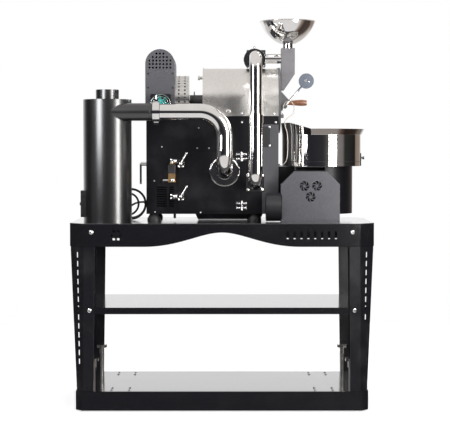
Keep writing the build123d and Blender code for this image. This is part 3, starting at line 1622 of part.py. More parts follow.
port_back = door_front - seat_gap
elbow_start = clamp_right + stand_off
with BuildPart() as elbow_pipe:
    with BuildLine() as elbow_path:
        FilletPolyline(
            (elbow_start, pipe_y, elbow_top_z),
            (elbow_x, pipe_y, elbow_top_z),
            (elbow_x, pipe_y, elbow_bottom_z),
            (elbow_x, port_back, elbow_bottom_z),
            radius=[elbow_bend, elbow_low_bend],
        )
    with BuildSketch(Plane((elbow_start, pipe_y, elbow_top_z), (0, 1, 0), (1, 0, 0))):
        Circle(elbow_radius)
        Circle(elbow_radius - pipe_wall, mode=Mode.SUBTRACT)
    sweep(path=elbow_path.wires()[0])
    with BuildSketch(facing_front(port_back)):
        with Locations((elbow_x, elbow_bottom_z)):
            Circle(port_flange_radius)
            Circle(port_radius, mode=Mode.SUBTRACT)
    extrude(amount=flange_sheet)
    for side in (-1, 1):
        bolt_x = elbow_x + side * wing_bolt_span / 2
        bar((bolt_x, port_back - flange_sheet - 8, elbow_bottom_z), "Y", 5, 9)
        with BuildSketch(facing_front(port_back - flange_sheet - 4)):
            with Locations((bolt_x, elbow_bottom_z)):
                SlotOverall(24, 7, rotation=45)
        extrude(amount=3)
elbow_pipe.part.label = "elbow_pipe"
export_step(elbow_pipe.part, "parts/elbow_pipe.step")

clamp_left = clamp_right - clamp_width
with BuildPart() as v_clamp:
    with BuildSketch(facing_right(clamp_left)):
        with Locations((pipe_y, elbow_top_z)):
            Circle(clamp_radius)
            Circle(clamp_groove, mode=Mode.SUBTRACT)
    extrude(amount=clamp_width)
    lug_z = elbow_top_z + clamp_radius
    clamp_middle = (clamp_left + clamp_right) / 2
    block(clamp_middle - 8, clamp_middle + 8, pipe_y - 6, pipe_y + 6, lug_z - 3, lug_z + 8)
    bar((clamp_middle, pipe_y, lug_z), "Z", 3.5, 22)
    lug_low = elbow_top_z - clamp_radius
    block(clamp_middle - 9, clamp_middle + 9, pipe_y - 8, pipe_y + 8, lug_low - 8, lug_low + 3)
v_clamp.part.label = "v_clamp"
export_step(v_clamp.part, "parts/v_clamp.step")

# ---------------------------------------------------------------- cyclone
cyclone_top = table_height + cyclone_height
inlet_end = clamp_right - seat_gap
hatch_x = cyclone_x - hatch_reach
hatch_middle = hatch_bottom + hatch_height / 2
with BuildPart() as cyclone_body:
    bar((cyclone_x, cyclone_y, table_height), "Z", cyclone_radius, cyclone_height)
    bar((cyclone_x, cyclone_y, cyclone_top), "Z", outlet_radius, outlet_height)
    bar((cyclone_x, pipe_y, elbow_top_z), "X", inlet_radius, inlet_end - cyclone_x)
    bar((clamp_left - 12, pipe_y, elbow_top_z), "X", inlet_radius + 1, 3)
    bar((clamp_left + 3, pipe_y, elbow_top_z), "X", clamp_groove - seat_gap, inlet_end - clamp_left - 3)
    block(
        hatch_x,
        cyclone_x - cyclone_radius / 2,
        cyclone_y - hatch_width / 2,
        cyclone_y + hatch_width / 2,
        hatch_bottom,
        hatch_bottom + hatch_height,
    )
    bar(
        (cyclone_x, cyclone_y, table_height + cyclone_sheet),
        "Z",
        cyclone_radius - cyclone_sheet,
        cyclone_height - 2 * cyclone_sheet,
        Mode.SUBTRACT,
    )
    bar(
        (cyclone_x, pipe_y, elbow_top_z),
        "X",
        inlet_radius - cyclone_sheet,
        inlet_end - cyclone_x + stand_off,
        Mode.SUBTRACT,
    )
    block(
        hatch_x - stand_off,
        cyclone_x,
        cyclone_y - hatch_width / 2 + hatch_sheet,
        cyclone_y + hatch_width / 2 - hatch_sheet,
        hatch_bottom + hatch_sheet,
        hatch_bottom + hatch_height - hatch_sheet,
        Mode.SUBTRACT,
    )
    bar((cyclone_x, cyclone_y, cyclone_top - outlet_dip), "Z", outlet_radius, outlet_dip)
    bar(
        (cyclone_x, cyclone_y, cyclone_top - outlet_dip - stand_off),
        "Z",
        outlet_radius - cyclone_sheet,
        outlet_dip + outlet_height + 2 * stand_off,
        Mode.SUBTRACT,
    )
cyclone_body.part.label = "cyclone_body"
export_step(cyclone_body.part, "parts/cyclone_body.step")

with BuildPart() as cyclone_door:
    hatch_back = hatch_x - seat_gap
    block(
        hatch_back - hatch_sheet,
        hatch_back,
        cyclone_y - hatch_width / 2,
        cyclone_y + hatch_width / 2,
        hatch_bottom,
        hatch_bottom + hatch_height,
    )
    knob_spot = (hatch_back - hatch_sheet - hatch_knob, cyclone_y - hatch_width / 2 + 12, hatch_middle)
    bar(knob_spot, "X", 6, hatch_knob)
    pin_spot = (hatch_back - hatch_sheet, cyclone_y + hatch_width / 2, hatch_bottom)
    bar(pin_spot, "Z", hatch_pin_radius, hatch_height)
cyclone_door.part.label = "cyclone_door"
export_step(cyclone_door.part, "parts/cyclone_door.step")

# ---------------------------------------------------------------- cooling tray
gate_low = tray_floor + stand_off
wall_sector = Plane.XZ.offset(-tray_y)


def tray_band(points):
    """A revolved band of the tray from radius and height points."""
    with BuildSketch(wall_sector) as outline:
        with BuildLine():
            Polyline(*[(tray_x + radius, z) for radius, z in points], close=True)
        make_face()
    revolve(outline.sketch, axis=Axis((tray_x, tray_y, 0), (0, 0, 1)))


with BuildPart() as cooling_tray:
    tray_band(
        [
            (tray_radius - tray_sheet, tray_wall_top),
            (tray_radius, tray_wall_top),
            (tray_rim_radius, tray_rim),
            (tray_rim_radius - tray_sheet, tray_rim),
        ]
    )
    block(
        tray_x - 2 * tray_radius,
        splash_end_x,
        tray_y - 2 * tray_radius,
        tray_y + 2 * tray_radius,
        tray_wall_top,
        tray_rim + stand_off,
        Mode.SUBTRACT,
    )
    tray_band(
        [
            (0, tray_floor),
            (tray_radius, tray_floor),
            (tray_radius, tray_wall_top),
            (tray_radius - tray_sheet, tray_wall_top),
            (tray_radius - tray_sheet, tray_floor + tray_sheet),
            (0, tray_floor + tray_sheet),
        ]
    )
    bar((tray_x, tray_y, tray_floor - stand_off), "Z", agitator_shaft_radius + stand_off, 10, Mode.SUBTRACT)
    with BuildSketch(wall_sector):
        with BuildLine():
            half_gate = radians(gate_angle)
            gate_sill = tray_floor + tray_sheet + seat_gap + perforated_rise
            gate_head = gate_low + gate_height - 4 * stand_off
            Polyline(
                (tray_x, gate_sill),
                (tray_x + 2 * tray_radius, gate_sill),
                (tray_x + 2 * tray_radius, gate_head),
                (tray_x, gate_head),
                close=True,
            )
        make_face()
    gate_opening = (tray_radius - 2 * tray_sheet) * sin(half_gate)
    extrude(amount=gate_opening - 4 * stand_off, both=True, mode=Mode.SUBTRACT)
with BuildPart() as splash:
    tray_band(
        [
            (tray_radius - tray_sheet, tray_wall_top),
            (tray_radius, tray_wall_top),
            (splash_radius, splash_top),
            (splash_radius - tray_sheet, splash_top),
        ]
    )
    with BuildSketch(wall_sector):
        with BuildLine():
            Polyline(
                (splash_end_x, tray_wall_top - stand_off),
                (splash_end_x, tray_rim),
                (splash_crest_x, splash_top + stand_off),
                (tray_x + 2 * tray_radius, splash_top + stand_off),
                (tray_x + 2 * tray_radius, tray_wall_top - stand_off),
                close=True,
            )
        make_face()
    extrude(amount=2 * tray_radius, both=True, mode=Mode.SUBTRACT)
with BuildPart() as perforated_floor:
    plate_radius = tray_radius - tray_sheet - seat_gap
    bar((tray_x, tray_y, tray_floor + tray_sheet + seat_gap), "Z", plate_radius, perforated_rise)
    bar(
        (tray_x, tray_y, tray_floor + tray_sheet),
        "Z",
        plate_radius - tray_sheet,
        perforated_rise - tray_sheet + seat_gap,
        Mode.SUBTRACT,
    )
    bar((tray_x, tray_y, tray_floor), "Z", agitator_shaft_radius + stand_off, 60, Mode.SUBTRACT)
with BuildPart() as cooling_tray_set:
    add(cooling_tray.part)
    add(splash.part)
    add(perforated_floor.part)
cooling_tray_set.part.label = "cooling_tray"
export_step(cooling_tray_set.part, "parts/cooling_tray.step")

plenum_top = tray_floor - seat_gap
plenum_bottom = table_height + foot_height + seat_gap
plenum_high = plenum_top - plenum_bottom
motor_socket = 24.0
agitator_motor_height = 90.0
with BuildPart() as plenum:
    bar((tray_x, tray_y, plenum_bottom), "Z", plenum_radius, plenum_high)
    collar_front = fan_box_back + seat_gap
    collar_low = table_height + fan_box_height / 2 - plenum_collar[1] / 2
    block(
        tray_x - plenum_collar[0] / 2,
        tray_x + plenum_collar[0] / 2,
        collar_front,
        tray_y,
        collar_low,
        collar_low + plenum_collar[1],
    )
    block(
        cabinet_right + seat_gap,
        tray_x - plenum_radius * 0.75,
        web_front,
        web_front + web_sheet,
        plenum_bottom,
        plenum_top,
    )
    bar(
        (tray_x, tray_y, plenum_bottom + body_sheet),
        "Z",
        plenum_radius - body_sheet,
        plenum_high - 2 * body_sheet,
        Mode.SUBTRACT,
    )
    block(
        tray_x - plenum_collar[0] / 2 + body_sheet,
        tray_x + plenum_collar[0] / 2 - body_sheet,
        collar_front - stand_off,
        tray_y,
        collar_low + body_sheet,
        collar_low + plenum_collar[1] - body_sheet,
        Mode.SUBTRACT,
    )
    bar((tray_x, tray_y, plenum_top - agitator_motor_height), "Z", 30, agitator_motor_height)
    bar(
        (tray_x, tray_y, plenum_top - motor_socket),
        "Z",
        agitator_shaft_radius + running_gap,
        motor_socket + stand_off,
        Mode.SUBTRACT,
    )
plenum.part.label = "plenum"
export_step(plenum.part, "parts/plenum.step")

sweep_z = tray_floor + tray_sheet + seat_gap + perforated_rise + 2 * stand_off
with BuildPart() as agitator:
    shaft_low = plenum_top - motor_socket + stand_off
    bar((tray_x, tray_y, shaft_low), "Z", agitator_shaft_radius, sweep_z - shaft_low)
    bar((tray_x, tray_y, sweep_z), "Z", agitator_hub_radius, agitator_hub_height)
    for arm in range(agitator_arms):
        angle = 360 / agitator_arms * arm + 20
        with Locations(Location((tray_x, tray_y, sweep_z + agitator_hub_height * 0.6), (0, 0, angle))):
            Cylinder(
                5,
                agitator_reach,
                rotation=(0, 90, 0),
                align=(Align.CENTER, Align.CENTER, Align.MIN),
            )
        for spot in (0.4, 0.66, 0.92):
            height = agitator_hub_height * 0.6
            with Locations(Location((tray_x, tray_y, sweep_z + height / 2), (0, 0, angle))):
                with Locations(Location((agitator_reach * spot, 0, 0), (0, 0, 35))):
                    Box(agitator_blade[0], agitator_blade[1], height)
agitator.part.label = "agitator"
export_step(agitator.part, "parts/agitator.step")

with BuildPart() as tray_gate:
    gate_inner = tray_radius + moving_gap
    gate_outer = gate_inner + tray_sheet
    with BuildSketch(Plane.XY.offset(gate_low)):
        with Locations((tray_x, tray_y)):
            Circle(gate_outer)
            Circle(gate_inner, mode=Mode.SUBTRACT)
        with BuildLine():
            far = 2 * tray_radius
            Polyline(
                (tray_x, tray_y),
                (tray_x + far * cos(half_gate), tray_y - far * sin(half_gate)),
                (tray_x + far * cos(half_gate), tray_y + far * sin(half_gate)),
                close=True,
            )
        make_face(mode=Mode.INTERSECT)
    extrude(amount=gate_height)
    bar((tray_x + gate_outer - stand_off, tray_y, gate_low + gate_height * 0.62), "X", 3, 6)
    bar((tray_x + gate_outer + 4, tray_y, gate_low + gate_height * 0.62), "X", tray_knob_radius, 6)
tray_gate.part.label = "tray_gate"
export_step(tray_gate.part, "parts/tray_gate.step")

# ---------------------------------------------------------------- fan box
fan_box_top = table_height + fan_box_height
fan_box_middle = (fan_box_left + fan_box_right) / 2
blower_z = table_height + fan_box_height / 2
bracket_half = 60.0


def fan_box_outline(inset):
    """Front view of the fan box with its two cut top corners."""
    left = fan_box_left + inset
    right = fan_box_right - inset
    top = fan_box_top - inset
    cut = inner_corner(fan_box_corner, inset)
    with BuildSketch() as outline:
        with BuildLine():
            Polyline(
                (left, table_height + inset),
                (left, top - cut),
                (left + cut, top),
                (right - cut, top),
                (right, top - cut),
                (right, table_height + inset),
                close=True,
            )
        make_face()
    return outline.sketch


# One pinwheel vent: curved openings that sweep out from a small hub.
with BuildSketch() as pinwheel:
    inner = pinwheel_hub + 1.5
    middle = 0.62 * pinwheel_radius
    outer = pinwheel_radius
    for vane in range(pinwheel_vanes):
        turn = 2 * pi / pinwheel_vanes * vane
        root = (inner * cos(turn), inner * sin(turn))
        tip = (outer * cos(turn + 0.55), outer * sin(turn + 0.55))
        rim = (outer * cos(turn + 0.85), outer * sin(turn + 0.85))
        far_tip = (outer * cos(turn + 1.15), outer * sin(turn + 1.15))
        far_root = (inner * cos(turn + 0.45), inner * sin(turn + 0.45))
        with BuildLine():
            ThreePointArc(root, (middle * cos(turn + 0.1), middle * sin(turn + 0.1)), tip)
            ThreePointArc(tip, rim, far_tip)
            ThreePointArc(far_tip, (middle * cos(turn + 0.72), middle * sin(turn + 0.72)), far_root)
            Line(far_root, root)
        make_face()

with BuildPart() as fan_box:
    with BuildSketch(facing_front(fan_box_back)):
        add(fan_box_outline(0))
    extrude(amount=fan_box_back - fan_box_front)
    with BuildSketch(facing_front(fan_box_back - body_sheet)):
        add(fan_box_outline(body_sheet))
    extrude(amount=fan_box_back - fan_box_front - 2 * body_sheet, mode=Mode.SUBTRACT)
    with BuildSketch(facing_front(fan_box_front - stand_off)):
        with Locations(*pinwheel_spots):
            add(pinwheel.sketch)
    extrude(amount=-body_sheet - 2 * stand_off, mode=Mode.SUBTRACT)
    bar((fan_box_middle, fan_box_back - 14, blower_z), "Y", 18, 14)
    bar((fan_box_middle, fan_box_back - 14 - blower_width, blower_z), "Y", axle_radius, blower_width)
    block(
        tray_x - plenum_collar[0] / 2 + body_sheet,
        fan_box_right - 2 * body_sheet,
        fan_box_back - 2 * body_sheet,
        fan_box_back + stand_off,
        collar_low + body_sheet,
        collar_low + plenum_collar[1] - body_sheet,
        Mode.SUBTRACT,
    )
    block(
        fan_box_middle - bracket_half,
        fan_box_middle + bracket_half,
        fan_box_front + 12,
        fan_box_back,
        fan_box_top + seat_gap,
        tray_floor - seat_gap,
    )
    block(
        fan_box_middle - bracket_half + 3,
        fan_box_middle + bracket_half - 3,
        fan_box_front + 12 - stand_off,
        fan_box_back + stand_off,
        fan_box_top + seat_gap + 3,
        tray_floor - seat_gap - 3,
        Mode.SUBTRACT,
    )
    duct_right = fan_box_left - seat_gap
    bar((duct_left, duct_y, duct_z), "X", duct_radius, duct_right - duct_left)
    bar((duct_left + 3, duct_y, duct_z), "X", duct_radius - body_sheet, duct_right - duct_left, Mode.SUBTRACT)
fan_box.part.label = "fan_box"
export_step(fan_box.part, "parts/fan_box.step")

with BuildPart() as blower_wheel:
    wheel_back = fan_box_back - 14 - seat_gap
    bar((fan_box_middle, wheel_back - 3, blower_z), "Y", blower_radius, 3)
    bar((fan_box_middle, wheel_back - blower_width, blower_z), "Y", 10, blower_width)
    with BuildSketch(facing_front(wheel_back - 2)):
        with Locations((fan_box_middle, blower_z)):
            with PolarLocations(blower_radius * 0.62, blower_vanes):
                Rectangle(blower_radius * 0.7, 2, rotation=25)
    extrude(amount=blower_width - 4)
    bar(
        (fan_box_middle, wheel_back - 2 * blower_width, blower_z),
        "Y",
        axle_radius + running_gap,
        3 * blower_width,
        Mode.SUBTRACT,
    )
blower_wheel.part.label = "blower_wheel"
export_step(blower_wheel.part, "parts/blower_wheel.step")

# ---------------------------------------------------------------- lead and cord


def corner_radii(points):
    """The arc radius at each corner of a route, as large as its two runs allow."""
    radii = []
    for before, corner, after in zip(points, points[1:], points[2:]):
        arriving = Vector(*corner) - Vector(*before)
        leaving = Vector(*after) - Vector(*corner)
        half_turn = radians(arriving.get_angle(leaving)) / 2
        radii.append(0.45 * min(arriving.length, leaving.length) / tan(half_turn))
    return radii


def tube_plane(points):
    """The plane across a route at its first point."""
    start = Vector(*points[0])
    return Plane(start, z_dir=Vector(*points[1]) - start)


with BuildPart() as probe_lead:
    with BuildLine() as lead_path:
        FilletPolyline(*lead_points, radius=corner_radii(lead_points))
    with BuildSketch(tube_plane(lead_points)):
        Circle(lead_radius)
    sweep(path=lead_path.wires()[0])
probe_lead.part.label = "probe_lead"
export_step(probe_lead.part, "parts/probe_lead.step")

with BuildPart() as power_cord:
    with BuildLine() as cord_lead_path:
        FilletPolyline(*cord_lead_points, radius=corner_radii(cord_lead_points))
    with BuildSketch(tube_plane(cord_lead_points)):
        Circle(cord_radius)
    sweep(path=cord_lead_path.wires()[0])
    with BuildLine() as cord_tail_path:
        FilletPolyline(*cord_tail_points, radius=corner_radii(cord_tail_points))
    with BuildSketch(tube_plane(cord_tail_points)):
        Circle(cord_radius)
    sweep(path=cord_tail_path.wires()[0])
power_cord.part.label = "power_cord"
export_step(power_cord.part, "parts/power_cord.step")

# The coil is one tube of planar half turns. The lower half of each turn stays at
# one depth, and the upper half climbs one pitch to the next turn.
coil_arcs = []
right = Vector(coil_x + coil_radius, coil_y, coil_z)
bottom = Vector(coil_x, coil_y, coil_z - coil_radius)
middle = Vector(coil_x + coil_radius * sin(pi / 4), coil_y, coil_z - coil_radius * cos(pi / 4))
coil_arcs.append((bottom, middle, right))
for turn, (left_reach, right_reach) in enumerate(coil_reaches):
    depth = coil_y + coil_pitch * (turn + 1)
    left = Vector(coil_x + left_reach, depth, coil_z)
    crown = (right + left) / 2 + Vector(0, 0, (right - left).length / 2)
    coil_arcs.append((right, crown, left))
    right = Vector(coil_x + right_reach, depth, coil_z)
    foot = (right + left) / 2 - Vector(0, 0, (right - left).length / 2)
    coil_arcs.append((left, foot, right))
end_centre = right - Vector(coil_end_radius, 0, 0)
middle = end_centre + Vector(sin(pi / 4), 0, cos(pi / 4)) * coil_end_radius
end_top = end_centre + Vector(0, 0, coil_end_radius)
coil_arcs.append((right, middle, end_top))
coil_straight = Vector(2 * cord_radius, 0, 0)
with BuildPart() as cord_coil:
    with BuildLine() as coil_path:
        Line(bottom - coil_straight, bottom)
        for start, through, end in coil_arcs:
            ThreePointArc(start, through, end)
        Line(end_top, end_top - coil_straight)
    with BuildSketch(Plane(bottom - coil_straight, z_dir=(1, 0, 0))):
        Circle(cord_radius)
    sweep(path=coil_path.wires()[0])
cord_coil.part.label = "cord_coil"
export_step(cord_coil.part, "parts/cord_coil.step")

plug_start = Vector(*cord_tail_points[-1])
plug_along = (plug_start - Vector(*cord_tail_points[-2])).normalized()
plug_plane = Plane(plug_start, x_dir=plug_along.cross(Vector(0, 0, 1)), z_dir=plug_along)
plug_lift = plug_height / 2 - cord_radius
with BuildPart() as plug:
    with BuildSketch(plug_plane):
        Circle(cord_radius)
    with BuildSketch(plug_plane.offset(plug_length * 0.45)):
        with Locations((0, -plug_lift)):
            RectangleRounded(plug_width, plug_height, plug_radius)
    loft()
    with BuildSketch(plug_plane.offset(plug_length * 0.45)):
        with Locations((0, -plug_lift)):
            RectangleRounded(plug_width, plug_height, plug_radius)
    extrude(amount=plug_length * 0.55)
    with BuildSketch(plug_plane.offset(plug_length)):
        with Locations((-pin_spacing / 2, -plug_lift), (pin_spacing / 2, -plug_lift)):
            Circle(pin_radius)
    extrude(amount=pin_length)
plug.part.label = "plug"
export_step(plug.part, "parts/plug.step")

# What the routes measure: lengths, tightest arcs, and the coil's least gap to itself.
for name, path, points in (
    ("probe lead", lead_path, lead_points),
    ("cord from the gland", cord_lead_path, cord_lead_points),
    ("cord to the plug", cord_tail_path, cord_tail_points),
):
    length = path.wires()[0].length
    print(name, "length", round(length, 1), "least radius", round(min(corner_radii(points)), 1))
coil_wire = coil_path.wires()[0]
coil_step = cord_radius / 2
coil_count = int(coil_wire.length / coil_step)
coil_spots = [coil_wire.position_at(n / coil_count) for n in range(coil_count + 1)]
apart = int(6 * cord_radius / coil_step)
least_gap = min(
    (coil_spots[far] - coil_spots[near]).length
    for near in range(0, coil_count + 1, 2)
    for far in range(near + apart, coil_count + 1)
)
print("coil length", round(coil_wire.length, 1), "least gap", round(least_gap - 2 * cord_radius, 2))
for name, sub_part, path, radius in (
    ("probe lead", probe_lead, lead_path, lead_radius),
    ("coil", cord_coil, coil_path, cord_radius),
):
    ratio = sub_part.part.volume / (pi * radius**2 * path.wires()[0].length)
    print(name, "volume over section times length", round(ratio, 4))
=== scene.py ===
from math import cos, pi, radians, sin

import bmesh
import bpy
from mathutils import Matrix, Vector


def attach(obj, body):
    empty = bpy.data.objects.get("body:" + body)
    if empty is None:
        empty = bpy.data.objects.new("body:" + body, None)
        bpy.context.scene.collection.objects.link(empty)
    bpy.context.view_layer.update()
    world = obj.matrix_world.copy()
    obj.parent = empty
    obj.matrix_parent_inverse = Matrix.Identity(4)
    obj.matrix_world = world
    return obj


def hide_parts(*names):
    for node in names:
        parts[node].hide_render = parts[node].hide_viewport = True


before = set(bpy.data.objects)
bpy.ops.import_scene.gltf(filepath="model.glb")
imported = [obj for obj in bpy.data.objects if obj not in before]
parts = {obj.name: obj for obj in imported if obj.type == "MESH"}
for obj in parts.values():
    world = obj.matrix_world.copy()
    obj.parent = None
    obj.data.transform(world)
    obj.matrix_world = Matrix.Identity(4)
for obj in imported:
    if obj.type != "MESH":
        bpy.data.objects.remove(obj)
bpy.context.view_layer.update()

# ---------------------------------------------------------------- photograph's view
# The machine is seen level with its cabinet from five metres, with a long lens.
# Two tall soft boxes that only mirrors see stand in front at either side; two
# lamps beside them and one overhead light the paint. All behind it is white.
camera_place = (0, -5.28, 0.995)
camera_pitch_down = 2.76
camera_turn = -0.1287
camera_data = bpy.data.cameras.new("camera")
camera_data.lens = 106.85
camera_data.sensor_width = 36
camera = bpy.data.objects.new("camera", camera_data)
bpy.context.collection.objects.link(camera)
camera.location = camera_place
camera.rotation_euler = (radians(90 - camera_pitch_down), 0, radians(camera_turn))
bpy.context.scene.camera = camera
bpy.context.scene.view_settings.view_transform = "Standard"


def soft_box(name, spot, target, width, height, power, colour, mirrored):
    """A rectangular lamp turned to target: it is either mirrored in glossy skins or lights the paint."""
    lamp_data = bpy.data.lights.new(name, "AREA")
    lamp_data.shape = "RECTANGLE"
    lamp_data.size = width
    lamp_data.size_y = height
    lamp_data.energy = power
    lamp_data.color = colour
    lamp = bpy.data.objects.new(name, lamp_data)
    bpy.context.collection.objects.link(lamp)
    lamp.location = spot
    lamp.visible_camera = False
    lamp.visible_glossy = mirrored
    lamp.visible_diffuse = not mirrored
    lamp.rotation_euler = (Vector(target) - Vector(spot)).to_track_quat("-Z", "Y").to_euler()
    return lamp


# Each lamp's name, spot, target, width, height, watts, colour and if mirrors see it.
for lamp_facts in (
    ("right_soft_box", (0.98, -1.14, 1.28), (0, 0, 1.28), 0.50, 1.4, 34, (1.0, 0.985, 0.965), True),
    ("left_soft_box", (-1.06, -1.08, 1.45), (0, 0, 1.45), 0.42, 0.9, 16, (0.97, 0.98, 1.0), True),
    ("right_lamp", (2.3, -2.2, 1.3), (0.1, 0, 1.0), 0.8, 2.2, 44, (1.0, 0.985, 0.97), False),
    ("left_lamp", (-2.0, -2.7, 1.2), (-0.3, 0, 0.95), 0.6, 2.1, 22, (0.97, 0.98, 1.0), False),
    ("top_lamp", (0.2, -0.6, 3.4), (0, 0, 0.9), 3.0, 2.0, 56, (1.0, 1.0, 1.0), False),
):
    soft_box(*lamp_facts)

# Mirror-like skins see a room that is shaded by bearing: the middle of a ramp is the
# camera's side, and both its ends lie behind the machine. The rest sees a plain fill.
ceiling_shade = (0.80, 0.775, 0.755, 1)
ceiling_from, ceiling_full = 0.15, 0.46
ground_from, ground_full = -0.25, -0.38
fill_strength = 0.34
world = bpy.data.worlds.new("studio")
bpy.context.scene.world = world
world.use_nodes = True
world_nodes = world.node_tree.nodes
world_links = world.node_tree.links
world_nodes.clear()
direction = world_nodes.new("ShaderNodeTexCoord")
split_direction = world_nodes.new("ShaderNodeSeparateXYZ")
world_links.new(direction.outputs["Generated"], split_direction.inputs[0])
towards_camera = world_nodes.new("ShaderNodeMath")
towards_camera.operation = "MULTIPLY"
towards_camera.inputs[1].default_value = -1
world_links.new(split_direction.outputs["Y"], towards_camera.inputs[0])
bearing = world_nodes.new("ShaderNodeMath")
bearing.operation = "ARCTAN2"
world_links.new(split_direction.outputs["X"], bearing.inputs[0])
world_links.new(towards_camera.outputs[0], bearing.inputs[1])
turned = world_nodes.new("ShaderNodeMapRange")
turned.inputs["From Min"].default_value = -pi
turned.inputs["From Max"].default_value = pi
world_links.new(bearing.outputs[0], turned.inputs["Value"])


def shade_ramp(nodes, stops):
    """A colour ramp with these (place, shade) stops."""
    ramp = nodes.new("ShaderNodeValToRGB")
    elements = ramp.color_ramp.elements
    elements[0].position = stops[0][0]
    elements[0].color = (*stops[0][1], 1)
    elements[1].position = stops[-1][0]
    elements[1].color = (*stops[-1][1], 1)
    for place, shade in stops[1:-1]:
        elements.new(place).color = (*shade, 1)
    return ramp


room = shade_ramp(
    world_nodes,
    [
        (0.00, (1.0, 1.0, 1.0)),
        (0.125, (1.0, 1.0, 1.0)),
        (0.155, (0.30, 0.28, 0.27)),
        (0.20, (0.05, 0.045, 0.045)),
        (0.275, (0.02, 0.02, 0.02)),
        (0.295, (0.22, 0.21, 0.22)),
        (0.325, (0.18, 0.17, 0.18)),
        (0.34, (0.03, 0.03, 0.04)),
        (0.40, (0.02, 0.02, 0.025)),
        (0.50, (0.03, 0.03, 0.035)),
        (0.515, (0.05, 0.048, 0.048)),
        (0.545, (0.12, 0.115, 0.115)),
        (0.61, (0.24, 0.225, 0.22)),
        (0.665, (0.18, 0.165, 0.16)),
        (0.685, (0.03, 0.03, 0.03)),
        (0.80, (0.015, 0.014, 0.014)),
        (0.815, (0.26, 0.20, 0.16)),
        (0.89, (0.34, 0.28, 0.24)),
        (0.925, (1.0, 1.0, 1.0)),
        (1.00, (1.0, 1.0, 1.0)),
    ],
)
world_links.new(turned.outputs[0], room.inputs[0])
lifted = world_nodes.new("ShaderNodeMapRange")
lifted.interpolation_type = "SMOOTHSTEP"
lifted.inputs["From Min"].default_value = ceiling_from
lifted.inputs["From Max"].default_value = ceiling_full
world_links.new(split_direction.outputs["Z"], lifted.inputs["Value"])
room_and_ceiling = world_nodes.new("ShaderNodeMix")
room_and_ceiling.data_type = "RGBA"
room_and_ceiling.inputs["B"].default_value = ceiling_shade
world_links.new(lifted.outputs[0], room_and_ceiling.inputs["Factor"])
world_links.new(room.outputs["Color"], room_and_ceiling.inputs["A"])
ground = shade_ramp(
    world_nodes,
    [
        (0.00, (0.80, 0.79, 0.80)),
        (0.18, (0.62, 0.61, 0.61)),
        (0.22, (0.10, 0.08, 0.07)),
        (0.27, (0.45, 0.43, 0.42)),
        (0.32, (0.80, 0.79, 0.79)),
        (0.64, (0.80, 0.79, 0.79)),
        (0.68, (0.30, 0.23, 0.19)),
        (0.72, (0.06, 0.045, 0.04)),
        (0.82, (0.09, 0.065, 0.055)),
        (0.87, (0.55, 0.50, 0.47)),
        (1.00, (0.80, 0.79, 0.80)),
    ],
)
world_links.new(turned.outputs[0], ground.inputs[0])
lowered = world_nodes.new("ShaderNodeMapRange")
lowered.interpolation_type = "SMOOTHSTEP"
lowered.inputs["From Min"].default_value = ground_from
lowered.inputs["From Max"].default_value = ground_full
world_links.new(split_direction.outputs["Z"], lowered.inputs["Value"])
whole_room = world_nodes.new("ShaderNodeMix")
whole_room.data_type = "RGBA"
world_links.new(lowered.outputs[0], whole_room.inputs["Factor"])
world_links.new(room_and_ceiling.outputs["Result"], whole_room.inputs["A"])
world_links.new(ground.outputs["Color"], whole_room.inputs["B"])
seen_by = world_nodes.new("ShaderNodeLightPath")
reflected = world_nodes.new("ShaderNodeBackground")
world_links.new(whole_room.outputs["Result"], reflected.inputs["Color"])
fill = world_nodes.new("ShaderNodeBackground")
fill.inputs["Color"].default_value = (1, 1, 1, 1)
fill.inputs["Strength"].default_value = fill_strength
backdrop = world_nodes.new("ShaderNodeBackground")
backdrop.inputs["Color"].default_value = (1, 1, 1, 1)
mirrored = world_nodes.new("ShaderNodeMath")
mirrored.operation = "MAXIMUM"
world_links.new(seen_by.outputs["Is Glossy Ray"], mirrored.inputs[0])
world_links.new(seen_by.outputs["Is Transmission Ray"], mirrored.inputs[1])
fill_or_room = world_nodes.new("ShaderNodeMixShader")
world_links.new(mirrored.outputs[0], fill_or_room.inputs["Fac"])
world_links.new(fill.outputs[0], fill_or_room.inputs[1])
world_links.new(reflected.outputs[0], fill_or_room.inputs[2])
room_or_backdrop = world_nodes.new("ShaderNodeMixShader")
world_links.new(seen_by.outputs["Is Camera Ray"], room_or_backdrop.inputs["Fac"])
world_links.new(fill_or_room.outputs[0], room_or_backdrop.inputs[1])
world_links.new(backdrop.outputs[0], room_or_backdrop.inputs[2])
world_out = world_nodes.new("ShaderNodeOutputWorld")
world_links.new(room_or_backdrop.outputs[0], world_out.inputs["Surface"])

# The white floor keeps the shadow. It glows for the camera alone, and mirror-like
# skins don't see it.
floor_radius = 2.6
floor_shade = (0.86, 0.86, 0.86, 1)
floor_glow_strength = 0.62
floor_mesh = bpy.data.meshes.new("floor")
floor_form = bmesh.new()
bmesh.ops.create_circle(floor_form, cap_ends=True, segments=64, radius=floor_radius)
floor_form.to_mesh(floor_mesh)
floor_form.free()
floor = bpy.data.objects.new("floor", floor_mesh)
bpy.context.collection.objects.link(floor)
floor_finish = bpy.data.materials.new("white_floor")
floor_finish.use_nodes = True
floor_nodes = floor_finish.node_tree.nodes
floor_links = floor_finish.node_tree.links
floor_nodes.clear()
floor_paint = floor_nodes.new("ShaderNodeBsdfDiffuse")
floor_paint.inputs["Color"].default_value = floor_shade
floor_glow = floor_nodes.new("ShaderNodeEmission")
floor_glow.inputs["Strength"].default_value = floor_glow_strength
floor_seen_by = floor_nodes.new("ShaderNodeLightPath")
floor_lit = floor_nodes.new("ShaderNodeAddShader")
floor_links.new(floor_paint.outputs[0], floor_lit.inputs[0])
floor_links.new(floor_glow.outputs[0], floor_lit.inputs[1])
floor_choice = floor_nodes.new("ShaderNodeMixShader")
floor_links.new(floor_seen_by.outputs["Is Camera Ray"], floor_choice.inputs["Fac"])
floor_links.new(floor_paint.outputs[0], floor_choice.inputs[1])
